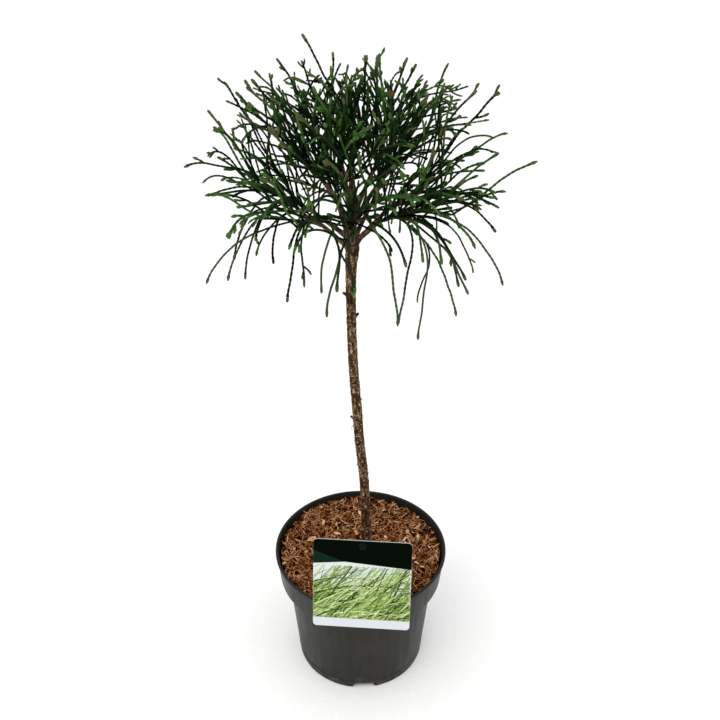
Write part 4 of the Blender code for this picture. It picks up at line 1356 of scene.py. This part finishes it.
for name, tier, index in each_mass():
    stem, *twigs = masses[name][0]
    root, tip, out = bough_line(tier, index)
    start = np.linspace(root + out * BOUGH_INSIDE, tip, BOUGH_POINTS)[:-1] if tier.length > 0 else [
        root - UP * LEADER_INSIDE]
    line = np.concatenate([start, along(stem, WOOD_POINTS)[:int(WOOD_POINTS * WOOD_SHARE)]])
    far = measure(line)
    radii = np.interp(far, (0, max(tier.length, LEADER_INSIDE), far[-1]),
                      (BOUGH_ROOT_RADIUS, BOUGH_TIP_RADIUS, STEM_TIP_RADIUS))
    if tier.length > 0:
        radii = radii * (1 + COLLAR * np.exp(-np.maximum(far - COLLAR_START, 0) / COLLAR_REACH))
    face_kinds = add_limb(line, radii, *BOUGH_MESH)
    # From here on the stem has the outer bark: greener, and darker as painted shade under the foliage.
    face_kinds[int(GREEN_AND_PAINTED_SHADE_FROM * len(face_kinds)):] = 1
    for twig in twigs:
        line = along(twig, WOOD_POINTS)[:TWIG_WOOD]
        far = measure(line)
        collar = 1 + TWIG_COLLAR * np.exp(-far / TWIG_COLLAR_REACH)
        radii = np.interp(far, (0, far[-1]), TWIG_RADII) * collar
        add_limb(line, radii, *TWIG_MESH, kind=1)
boughs = make_barked("bark_boughs", limbs_made, [bough_bark, outer_bark_painted_shade])
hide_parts(*[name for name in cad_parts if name.startswith("bough_")])

# %% [markdown]
# ## The pot
# A nursery pot is blown or injected from thin black polypropylene, partly reground, so it is a warm charcoal
# with a satin skin, dusty near its foot. It is a surface of revolution: the profile below runs from the
# bottom's middle out, up the outside, over the lip and down the inside. Blender's Screw could turn it, but
# rings in an array can be lifted at four places for the foot's notches before they become a mesh.

# %% Pot profile
POT_HEIGHT = 0.150
LIP_RADIUS = 0.0950
LIP_DEPTH = 0.0035
COLLAR_TOP_RADIUS = 0.0936
COLLAR_FOOT_RADIUS = 0.0904
COLLAR_FOOT_HEIGHT = 0.1135
WALL_TOP_RADIUS = 0.0820
FOOT_RADIUS = 0.0722
POT_WALL = 0.0016
POT_ROUNDING = 0.0012
FLOOR_RISE = 0.0070
FLOOR_THICKNESS = 0.0025
FOOT_RING_WIDTH = 0.0110
CENTRE_FOOT_RADIUS = 0.0220
FOOT_DRAFT = 0.0012
# The moulding line round the foot: three heights and its depth
LINE_FOOT = 0.0110
LINE_MIDDLE = 0.0116
LINE_TOP = 0.0125
LINE_DEPTH = 0.0004
EASE = 0.0002
AXIS_RADIUS = 0.0004


def rounded(corners, radius, steps=5):
    """The profile with each inner corner replaced by a quadratic curve between two points that are the radius
    away from it."""
    corners = np.array(corners, float)
    line = [corners[0]]
    for before, corner, after in zip(corners[:-2], corners[1:-1], corners[2:]):
        reach = min(radius, 0.45 * np.linalg.norm(before - corner), 0.45 * np.linalg.norm(after - corner))
        start = corner + unit(before - corner) * reach
        end = corner + unit(after - corner) * reach
        t = np.linspace(0, 1, steps)[:, None]
        line += list((1 - t) ** 2 * start + 2 * t * (1 - t) * corner + t * t * end)
    return np.array(line + [corners[-1]])


def turned(profile, steps):
    """Rings of a surface of revolution: every (radius, height) of the profile carried round the axis."""
    turn = circle(steps)
    radius, height = profile[:, :1], np.broadcast_to(profile[:, 1:], (len(profile), steps))
    return np.stack([radius * np.cos(turn), radius * np.sin(turn), height], axis=-1)


def wall_radius(height):
    """The radius of the pot's outer wall below the collar."""
    return FOOT_RADIUS + (WALL_TOP_RADIUS - FOOT_RADIUS) * height / COLLAR_FOOT_HEIGHT


floor_top = FLOOR_RISE + FLOOR_THICKNESS
ring_inside = FOOT_RADIUS - FOOT_RING_WIDTH
pot_profile = rounded([
    (AXIS_RADIUS, 0.0),
    (CENTRE_FOOT_RADIUS, 0.0),
    (CENTRE_FOOT_RADIUS + FOOT_DRAFT, FLOOR_RISE),
    (ring_inside - FOOT_DRAFT, FLOOR_RISE),
    (ring_inside, 0.0),
    (FOOT_RADIUS, 0.0),
    (wall_radius(LINE_FOOT), LINE_FOOT),
    (wall_radius(LINE_MIDDLE) - LINE_DEPTH, LINE_MIDDLE),
    (wall_radius(LINE_TOP) - EASE, LINE_TOP),
    (WALL_TOP_RADIUS - EASE, COLLAR_FOOT_HEIGHT - 0.0005),
    (COLLAR_FOOT_RADIUS, COLLAR_FOOT_HEIGHT + 0.0012),
    (COLLAR_TOP_RADIUS, POT_HEIGHT - LIP_DEPTH),
    (LIP_RADIUS, POT_HEIGHT - LIP_DEPTH + 0.0005),
    (LIP_RADIUS, POT_HEIGHT),
    (COLLAR_TOP_RADIUS - POT_WALL, POT_HEIGHT),
    (COLLAR_FOOT_RADIUS - POT_WALL, COLLAR_FOOT_HEIGHT + 2 * POT_WALL),
    (WALL_TOP_RADIUS - POT_WALL, COLLAR_FOOT_HEIGHT + POT_WALL),
    (wall_radius(floor_top) - POT_WALL, floor_top),
    (AXIS_RADIUS, floor_top),
], POT_ROUNDING)
print("points of the pot's profile:", len(pot_profile))

# %% Foot notches
# Where a notch is, the foot's outer rings are pressed up towards the notch's reach.
TURN_STEPS = 192
NOTCHES = 4
FIRST_NOTCH = 273.0
NOTCH_WIDTH = 0.0260
NOTCH_TOP_WIDTH = 0.0200
NOTCH_HEIGHT = 0.0062
NOTCH_REACH = 0.0095
INNER_RINGS = 12
rings = turned(pot_profile, TURN_STEPS)
half_gap = math.pi / NOTCHES
off_notch = np.abs((circle(TURN_STEPS) - math.radians(FIRST_NOTCH) + half_gap) % (2 * half_gap) - half_gap)
notch_slope = (NOTCH_WIDTH - NOTCH_TOP_WIDTH) / 2
lift = NOTCH_HEIGHT * np.clip((NOTCH_WIDTH / 2 - off_notch * FOOT_RADIUS) / notch_slope, 0, 1)
low = (rings[..., 2] < NOTCH_REACH) & (np.hypot(rings[..., 0], rings[..., 1]) > ring_inside - 0.0004)
low[-INNER_RINGS:] = False
rings[..., 2] = np.where(low, lift + rings[..., 2] * (1 - lift / NOTCH_REACH), rings[..., 2])
print("the highest notch point is at", round(float(lift.max()), 4))

# %% Pot material
# Moulded polypropylene is a satin charcoal: clouded every 45 mm by the regrind, streaked in its gloss along
# the mould's draw every 6 mm, with dry dust in the last 20 mm and an etched skin drawn coarser than real, at
# 1 mm. Patterns are given in grains to a metre, which is 1000 over the size in mm.
CLOUDS = 22.0
DUST_GRAINS = 90.0
STREAKS = (160.0, 160.0, 9.0)
SKIN_GRAINS = 900.0
DUST_TOP = 0.022
DUST_FULL = 0.004
SKIN_RELIEF = 0.0003
pot_plastic = new_material("moulded_black_polypropylene", "#22211c", 0.42, 0.13, IOR=1.49)
node = partial(add_node, pot_plastic)
place = node("TexCoord").outputs["Object"]
cloud = node("TexNoise", {"Vector": place, "Scale": CLOUDS, "Detail": 6.0, "Roughness": 0.6})
charcoals = ((0.30, "#1e1d18"), (0.55, "#22211c"), (0.80, "#2b2821"))
tint = node("ValToRGB", {"Fac": cloud}, charcoals)
grit = node("TexNoise", {"Vector": place, "Scale": DUST_GRAINS, "Detail": 8.0, "Roughness": 0.7})
patches = node("MapRange", {"Value": grit, "From Min": 0.50, "From Max": 0.72, "To Max": 0.5})
up = node("SeparateXYZ", {"Vector": place}).outputs["Z"]
low_down = node("MapRange", {"Value": up, "From Min": DUST_TOP, "From Max": DUST_FULL})
dusty = node("Math", {0: patches, 1: low_down}, operation="MULTIPLY")
# Of a colour mix, input 0 is the share, 6 and 7 are the colours, and output 2 is the mixed colour.
feed(pot_plastic, "Base Color", node("Mix", {0: dusty, 6: tint, 7: linear("#7b7365")}, data_type="RGBA"), 2)
drawn = node("Mapping", {"Vector": place, "Scale": STREAKS})
streaks = node("TexNoise", {"Vector": drawn, "Scale": 1.0, "Detail": 4.0})
gloss = node("MapRange", {"Value": streaks, "From Min": 0.3, "From Max": 0.7, "To Min": 0.36, "To Max": 0.52})
feed(pot_plastic, "Roughness", gloss)
skin = node("TexNoise", {"Vector": place, "Scale": SKIN_GRAINS, "Detail": 2.0})
feed(pot_plastic, "Normal", node("Bump", {"Height": skin, "Strength": 0.12, "Distance": SKIN_RELIEF}))
print("pot material nodes:", len(pot_plastic.node_tree.nodes))

# %% Pot and its drain holes
DRAINS = 6
FIRST_DRAIN = 15.0
DRAIN_RADIUS = 0.0040
DRAIN_CIRCLE = 0.0480
DRILL_SIDES = 24
DRILL_LENGTH = 0.01
SHARP = math.radians(40)
pot = make_piece("nursery_pot", [tube_part(rings, 0)], [pot_plastic])
pot.data.set_sharp_from_angle(angle=SHARP)
drill_shape = bmesh.new()
for number in range(DRAINS):
    at = math.radians(FIRST_DRAIN + 360 * number / DRAINS)
    made = bmesh.ops.create_cone(drill_shape, cap_ends=True, segments=DRILL_SIDES, radius1=DRAIN_RADIUS,
                                 radius2=DRAIN_RADIUS, depth=DRILL_LENGTH)
    centre = (DRAIN_CIRCLE * math.cos(at), DRAIN_CIRCLE * math.sin(at), FLOOR_RISE + 0.001)
    bmesh.ops.translate(drill_shape, verts=made["verts"], vec=centre)
drill_data = bpy.data.meshes.new("drill")
drill_shape.to_mesh(drill_data)
drill_shape.free()
drill = new_object("drill", drill_data)
holes = pot.modifiers.new("drain_holes", "BOOLEAN")
holes.operation = "DIFFERENCE"
holes.object = drill
drilled = mesh_now(pot)
pot.modifiers.clear()
pot.data = drilled
bpy.data.objects.remove(drill)
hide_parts("pot")

# %% [markdown]
# ## Bark fibre
# The pot is topped with shredded bark and coir: springy strands 4 to 12 mm long and about 1 mm wide, orange
# brown, and a few pale chips. A mound fills the pot, as dark as damp peat and darker still as painted shade,
# and some thousand bent strands lie on it in layers, heaped towards the wall and the back; the lower layer is
# dealt darker browns, as painted shade under the upper one, so the gaps between strands are painted dark. They
# could be dropped by a simulation, which takes long and differs by machine, while strands laid along the
# mound's own height settle at once.

# %% Mound
MIX_HEIGHT = 0.1375
MOUND_RADIUS = 0.0500
MOUND_FLAT = 0.012
MIX_GAP = 0.0005
MIX_UNDER = 0.0016
MIX_SIDES = 96
MIX_RINGS = 44
CRUMBS = 0.0004
HEAP = 0.0014
EDGE_HEAP = 0.0016
EDGE_SPAN = (0.055, 0.030)
BACK_HEAP = 0.0043
BACK_SPAN = 0.060
HEAP_WAVES = 0.0007
BRIM_ROOM = 0.0004


def mound_height(radius):
    """Level at the wall and rising to the stem by 3 s^2 - 2 s^3."""
    share = np.clip((MOUND_RADIUS - radius) / (MOUND_RADIUS - MOUND_FLAT), 0, 1)
    return MIX_HEIGHT + (MOUND_HEIGHT - MIX_HEIGHT) * smooth_step(share)


def heap(x, y):
    """The loose top: sine waves of 14 to 33 mm for its heaps and hollows, and rises towards the wall and the
    left of the back."""
    waves = np.sin(210 * x + 0.7) * np.sin(190 * y - 0.4) + 0.7 * np.sin(370 * x - 260 * y)
    waves += 0.5 * np.sin(430 * y + 90 * x + 2)
    edge = np.clip((np.hypot(x, y) - EDGE_SPAN[0]) / EDGE_SPAN[1], 0, 1)
    back = np.clip((0.7 * y - 0.45 * x) / BACK_SPAN, 0, 1)
    return HEAP + EDGE_HEAP * edge + BACK_HEAP * back + HEAP_WAVES * waves


def brim_radius(height):
    """The radius of the pot's inside in its collar."""
    slope = (COLLAR_TOP_RADIUS - COLLAR_FOOT_RADIUS) / (POT_HEIGHT - COLLAR_FOOT_HEIGHT)
    return COLLAR_FOOT_RADIUS + slope * (height - COLLAR_FOOT_HEIGHT) - POT_WALL - MIX_GAP


brim = brim_radius(MIX_HEIGHT)
mix_floor = floor_top + MIX_GAP
mix_sides = [
    (AXIS_RADIUS, mix_floor),
    (wall_radius(mix_floor) - POT_WALL - MIX_GAP, mix_floor),
    (WALL_TOP_RADIUS - POT_WALL - MIX_GAP, COLLAR_FOOT_HEIGHT + POT_WALL),
    (COLLAR_FOOT_RADIUS - POT_WALL - MIX_GAP - 0.001, COLLAR_FOOT_HEIGHT + 3 * POT_WALL),
    (brim - BRIM_ROOM, MIX_HEIGHT - 0.002),
]
top_radii = np.linspace(brim - 0.0006, 0.001, MIX_RINGS)
rings = turned(np.array(mix_sides + list(zip(top_radii, mound_height(top_radii) - MIX_UNDER))), MIX_SIDES)
crumbs = np.random.default_rng([SEED, 70]).normal(0, CRUMBS, rings.shape[:2])
top = rings[len(mix_sides) + 1:]
top[..., 2] += crumbs[len(mix_sides) + 1:] + heap(top[..., 0], top[..., 1])
# Damp peat and rotted bark: matt, in crumbs of 1.5 mm, dark as damp peat is and nearly black with painted
# shade under the strands, which gives them a dark ground.
humus_with_painted_shade = mottled("damp_humus_with_painted_shade", "#1c0a02", roughness=0.95, specular=0.02, spread=0.4, grain=0.0015,
                     relief=0.0004)
mound = make_piece("mix_mound", [tube_part(rings, 0)], [humus_with_painted_shade])
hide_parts("potting_mix")

# %% Strands
STRAND_POINTS = 4
STRAND_BEND = 0.9
STRAND_ROLL = 0.6
STRAND_TAPER = np.array([0.4, 1.0, 0.95, 0.35])
STEM_ROOM = 0.0075
# Dry shredded bark is matt, and each strand is streaked darker and lighter every 2 mm or so.
FIBRE_COLOURS = {
    "bark_fibre_rust": "#84502b",
    "bark_fibre_orange": "#a56e45",
    "bark_fibre_tan": "#c09770",
    "bark_fibre_brown": "#5f3015",
    # The darkest fibre is partly dark strands and partly painted shade in the lower layer.
    "bark_fibre_painted_shade_and_dark": "#2f1204",
    "bark_chip_pale": "#d0ac88",
}
fibre_materials = [mottled(name, code, roughness=0.9, specular=0.02, spread=0.16, grain=0.002, relief=0.0002)
                   for name, code in FIBRE_COLOURS.items()]


def strewn(count, lengths, widths, depth, layers, tilt, shares, seed):
    """Slivers strewn over the mound: each arc's middle, direction, bend, tilt and roll are drawn at random."""
    rng = np.random.default_rng([SEED, seed])
    length = rng.uniform(*lengths, count)
    width = rng.uniform(*widths, count)
    limit = brim - BRIM_ROOM
    radius = np.sqrt(rng.uniform(0.0, 1.0, count)) * limit
    turn = rng.uniform(0, 2 * math.pi, count)
    heading = rng.uniform(0, 2 * math.pi, count)
    layer = rng.uniform(*layers, count)
    bend = rng.normal(0, STRAND_BEND, count)
    rise = rng.normal(0, tilt, count)
    roll = rng.normal(0, STRAND_ROLL, count)[:, None, None]
    kinds = rng.choice(len(shares), size=count, p=shares)
    t = np.linspace(-0.5, 0.5, STRAND_POINTS)
    curl = heading[:, None] + bend[:, None] * t
    step = (length / (STRAND_POINTS - 1) * np.cos(rise))[:, None]
    x = np.cumsum(np.cos(curl), axis=1) * step
    y = np.cumsum(np.sin(curl), axis=1) * step
    x += (radius * np.cos(turn))[:, None] - x.mean(1, keepdims=True)
    y += (radius * np.sin(turn))[:, None] - y.mean(1, keepdims=True)
    z = t * (length * np.sin(rise))[:, None] + mound_height(np.hypot(x, y)) + layer[:, None] + heap(x, y)
    kept = np.hypot(x, y).max(axis=1) < limit
    kept &= np.hypot(x - TRUNK_ROWS[0][1], y).min(axis=1) > STEM_ROOM
    across = level_frame(curl)[1]
    side = across * np.cos(roll) + UP * np.sin(roll)
    normal = UP * np.cos(roll) - across * np.sin(roll)
    lines = np.stack([x, y, z], axis=-1)[kept]
    width = width[kept]
    return slivers(lines, side[kept], normal[kept], width, depth * width, STRAND_TAPER, kinds[kept])


# The lower layer is dealt mostly brown and dark strands: painted shade under the upper layer.
lower_layer_painted_shade = strewn(3600, lengths=(0.004, 0.009), widths=(0.0008, 0.0017), depth=0.6, layers=(-0.0024, 0.0004),
              tilt=0.25, shares=(0.26, 0.12, 0.03, 0.31, 0.28, 0.0), seed=71)
upper = strewn(3200, lengths=(0.004, 0.012), widths=(0.0006, 0.0014), depth=0.55, layers=(-0.0002, 0.0020),
               tilt=0.30, shares=(0.29, 0.28, 0.20, 0.13, 0.07, 0.03), seed=72)
chips = strewn(110, lengths=(0.005, 0.011), widths=(0.0022, 0.0042), depth=0.3, layers=(0.0006, 0.0020),
               tilt=0.25, shares=(0.16, 0.24, 0.26, 0.08, 0.0, 0.26), seed=73)
fibre = make_piece("bark_fibre", [lower_layer_painted_shade, upper, chips], fibre_materials, smooth=False)

# %% [markdown]
# ## The label
# A plant label is a stiff printed card with a thin gloss film, held by a black peg. Its print has a dark band,
# a light field with a spray of drawn blades, and a bare strip. A picture laid on the card is the usual way,
# but would need a file, so the ink is drawn as flat shapes a few hundredths of a millimetre proud.

# %% Flat shapes in the card's plane
CARD_CENTRE = np.array([0.0012, -0.0890, 0.1792])
CARD_LEAN = math.radians(90 - 14.6)
CARD_YAW = math.radians(-4.4)


def card_place(points):
    """Turns points of the card's own plane (x right, y up, z out of its front) to their place on the pot."""
    x, y, z = points[..., 0], points[..., 1], points[..., 2]
    back = y * math.cos(CARD_LEAN) - z * math.sin(CARD_LEAN)
    up = y * math.sin(CARD_LEAN) + z * math.cos(CARD_LEAN)
    right = x * math.cos(CARD_YAW) - back * math.sin(CARD_YAW)
    return np.stack([right, x * math.sin(CARD_YAW) + back * math.cos(CARD_YAW), up], axis=-1) + CARD_CENTRE


def bend_points(centre, radius, degrees):
    """Points on a circle in the card's plane, at these turns."""
    turns = [math.radians(value) for value in degrees]
    return [(centre[0] + radius * math.cos(turn), centre[1] + radius * math.sin(turn)) for turn in turns]


def card_shape(name, outlines, thickness, lift, material):
    """A flat piece at this lift off the card's middle plane: a filled curve, which closes round its holes by
    itself, made a mesh and put in its place."""
    data = bpy.data.curves.new(name, "CURVE")
    data.dimensions = "2D"
    data.fill_mode = "BOTH"
    data.extrude = thickness / 2
    for line in outlines:
        spline = data.splines.new("POLY")
        spline.points.add(len(line) - 1)
        for point, (x, y) in zip(spline.points, line):
            point.co = (x, y, 0.0, 1.0)
        spline.use_cyclic_u = True
    curve = new_object(name, data)
    mesh = mesh_now(curve)
    bpy.data.objects.remove(curve)
    points = np.empty(3 * len(mesh.vertices), np.float32)
    mesh.vertices.foreach_get("co", points)
    placed = card_place(points.reshape(-1, 3) + (0.0, 0.0, lift))
    mesh.vertices.foreach_set("co", placed.astype(np.float32).ravel())
    mesh.materials.clear()
    mesh.materials.append(material)
    mesh.update()
    piece = new_object(name, mesh)
    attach(piece, "root")
    print(name, "faces:", len(mesh.polygons))
    return piece


print("the card faces", (card_place(np.array([0.0, 0.0, 1.0])) - CARD_CENTRE).round(2).tolist())

# %% Card
CARD = 0.1000
CARD_THICKNESS = 0.0008
CARD_CORNER = 0.0040
HOLE_DROP = 0.0060
HOLE_RADIUS = 0.0026
inset = CARD / 2 - CARD_CORNER
outline = []
for quarter, (side, end) in enumerate(((1, 1), (-1, 1), (-1, -1), (1, -1))):
    degrees = np.linspace(90 * quarter, 90 * quarter + 90, 9)
    outline += bend_points((side * inset, end * inset), CARD_CORNER, degrees)
hole = bend_points((0.0, CARD / 2 - HOLE_DROP), HOLE_RADIUS, range(0, 360, 15))
# Coated board: its cut edge is paler than the print and faintly fibrous, in patches of 1 mm.
card_edge = mottled("white_label_card", "#c3c6bf", roughness=0.4, specular=0.1, spread=0.04, grain=0.001)
card = card_shape("printed_card", [outline, hole], CARD_THICKNESS, 0.0, card_edge)
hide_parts("label")

# %% [markdown]
# ## The print
# From the top down: a dark green band with a lighter slanting facet, the field of blades, and a white strip.
# The blades are ribbons: a parabola from a foot low in the field or below it, cut off where it leaves the
# field. Each lies a little higher than the last, as overprinted ink does, so that no two share a plane.

# %% Inks
# Offset ink under a thin gloss film: even to the eye, with a faint mottle of half a millimetre.
PRINT_COLOURS = {
    "ink_band_green": "#010702",
    "ink_facet_green": "#0c2416",
    "ink_sky": "#ccd6d0",
    "ink_mist_green": "#859b5c",
    "ink_blade_light": "#98b062",
    "ink_blade_green": "#6a8640",
    "ink_blade_dark": "#2d441a",
    "ink_blade_pale": "#c6d59d",
    "ink_white": "#cccfd4",
}
print_materials = [mottled(name, code, roughness=0.35, specular=0.02, spread=0.04, grain=0.0005)
                   for name, code in PRINT_COLOURS.items()]
BAND, FACET, SKY, MIST, LIGHT, BLADE, BLADE_DARK, BLADE_PALE, WHITE = range(len(print_materials))
print("inks:", len(print_materials))

# %% Ink shapes
INK_LIFT = 0.00004
BORDER = 0.0001
FIELD_TOP = 0.0215
FIELD_FOOT = -0.0400
BLADE_POINTS = 41
BLADE_TAPER = 0.8
front = CARD_THICKNESS / 2
side = CARD / 2 - BORDER


def ink_quad(corners, lift, kind=0):
    """One flat ink shape of four corners, in the card's plane."""
    points = np.array([(x, y, front + lift * INK_LIFT) for x, y in corners])
    return card_place(points), np.array([[0, 1, 2, 3]]), np.zeros((0, 4), int), np.array([kind])


def blade_part(foot, angle, length, curve, width, lift, kind):
    """A ribbon along foot + t L d + t^2 c n that tapers to its tip, without the quads outside the field."""
    t = np.linspace(0, 1, BLADE_POINTS)[:, None]
    way = np.array([math.cos(angle), math.sin(angle)])
    normal = np.array([-way[1], way[0]])
    line = foot + t * length * way + t * t * curve * normal
    head = unit(np.gradient(line, axis=0))
    beside = np.stack([-head[:, 1], head[:, 0]], axis=1) * width / 2 * (1 - BLADE_TAPER * t ** 2)
    edges = np.stack([line - beside, line + beside], axis=1)
    inside = (np.abs(edges[..., 0]) < side) & (edges[..., 1] > FIELD_FOOT) & (edges[..., 1] < FIELD_TOP)
    good = inside.all(axis=1)
    quads = grid_quads(len(t), 2, closed=False)[good[:-1] & good[1:]]
    points = np.concatenate([edges.reshape(-1, 2), np.full((2 * len(t), 1), front + lift * INK_LIFT)], axis=1)
    return card_place(points), quads[:, ::-1], np.zeros((0, 4), int), np.full(len(quads), kind)


print("the field of blades is", FIELD_TOP - FIELD_FOOT, "high")

# %% Field of blades
BLADES = 420
BLADE_FEET = ((-0.085, 0.045), (-0.070, -0.010))
BLADE_SHARES = {LIGHT: 0.27, BLADE: 0.28, BLADE_DARK: 0.30, BLADE_PALE: 0.15}
BLADE_ANGLE = (0.2, 1.3)
BLADE_LENGTH = (0.04, 0.11)
BLADE_CURVE = (-0.04, 0.01)
BLADE_WIDTH = (0.0006, 0.0014)
BLADE_LIFTS = (3, 0.015)
SKY_TOP = FIELD_TOP + 0.006
ink = [
    ink_quad(((-side, FIELD_FOOT), (side, FIELD_FOOT), (side, SKY_TOP), (-side, SKY_TOP)), 1, SKY),
    ink_quad(((-side, FIELD_FOOT), (side, FIELD_FOOT), (side, -0.022), (-side, 0.002)), 2, MIST),
]
rng = np.random.default_rng([SEED, 90])
for number in range(BLADES):
    foot = np.array([rng.uniform(*span) for span in BLADE_FEET])
    kind = rng.choice(list(BLADE_SHARES), p=list(BLADE_SHARES.values()))
    form = [rng.uniform(*span) for span in (BLADE_ANGLE, BLADE_LENGTH, BLADE_CURVE, BLADE_WIDTH)]
    ink.append(blade_part(foot, *form, BLADE_LIFTS[0] + BLADE_LIFTS[1] * number, kind))
print_piece = make_piece("card_print", ink, print_materials, smooth=False)

# %% Band, facet and strip
within = [(x * side / (CARD / 2), y * side / (CARD / 2)) for x, y in outline]
band_line = [(x, y) for x, y in within if y > 0]
band_line += [(-side, FIELD_TOP + 0.0010), (-0.018, FIELD_TOP + 0.0042), (side, FIELD_TOP - 0.0012)]
card_shape("band_print", [band_line, hole], INK_LIFT, front + 10 * INK_LIFT, print_materials[BAND])
strip_line = [(x, y) for x, y in within if y < 0] + [(side, FIELD_FOOT), (-side, FIELD_FOOT)]
card_shape("strip_print", [strip_line], INK_LIFT, front + INK_LIFT, print_materials[WHITE])
facet = ink_quad(((-side, FIELD_TOP + 0.0014), (-0.021, FIELD_TOP + 0.0046), (-0.0215, FIELD_TOP + 0.0053),
                  (-side, 0.0375)), 12)
facet_piece = make_piece("facet_print", [facet], [print_materials[FACET]], smooth=False)

# %% [markdown]
# ## The peg
# The peg is a round plastic stake behind the card, with a pin and a low domed head in front of it. Primitives
# could be joined for it, but a swept stake and a turned pin keep their rounded edges and meet without a seam.

# %% Peg
PIN_RADIUS = 0.0021
PIN_SIDES = 24
HEAD_RADIUS = 0.0042
HEAD_THICKNESS = 0.0012
PEG_RADIUS = 0.0024
PEG_SIDES = 16
PEG_POINTS = 40
PEG_TAPER = ((0, 6, 37, 39), (0.75, 1.0, 1.0, 0.8))
PEG_BEND = 0.008
PEG_FOOT = np.array([0.0030, -0.0800, MIX_HEIGHT + GAP])
# Moulded nylon is glossy, with a fine orange-peel skin of half a millimetre that softens its highlight.
peg_plastic = mottled("glossy_black_nylon", "#060706", roughness=0.32, specular=0.06, spread=0.15,
                      grain=0.0005, relief=0.00003)
hole_height = CARD / 2 - HOLE_DROP
stake = -front - GAP - PEG_RADIUS
joint = card_place(np.array([0.0, hole_height, stake]))
peg_rows = [PEG_FOOT, PEG_FOOT + UP * PEG_BEND, joint - UP * PEG_BEND, joint + UP * PEG_RADIUS]
peg_line = smooth_through(np.array(peg_rows), PEG_POINTS)
taper = PEG_RADIUS * np.interp(np.arange(PEG_POINTS), *PEG_TAPER)
ways = ring_ways(circle(PEG_SIDES), *frame_along(peg_line)[1:])
peg_parts = [tube_part(peg_line[:, None] + taper[:, None, None] * ways, 0)]
head = front + GAP
pin_profile = np.array([
    (PIN_RADIUS, stake),
    (PIN_RADIUS, head),
    (HEAD_RADIUS * 0.96, head),
    (HEAD_RADIUS, head + 0.0002),
    (HEAD_RADIUS * 0.93, head + 0.6 * HEAD_THICKNESS),
    (HEAD_RADIUS * 0.7, head + 0.93 * HEAD_THICKNESS),
    (AXIS_RADIUS, head + HEAD_THICKNESS),
])
peg_parts.append(tube_part(card_place(turned(pin_profile, PIN_SIDES) + (0.0, hole_height, 0.0)), 0))
peg = make_piece("card_peg", peg_parts, [peg_plastic])
peg.data.set_sharp_from_angle(angle=SHARP)
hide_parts("label_peg")
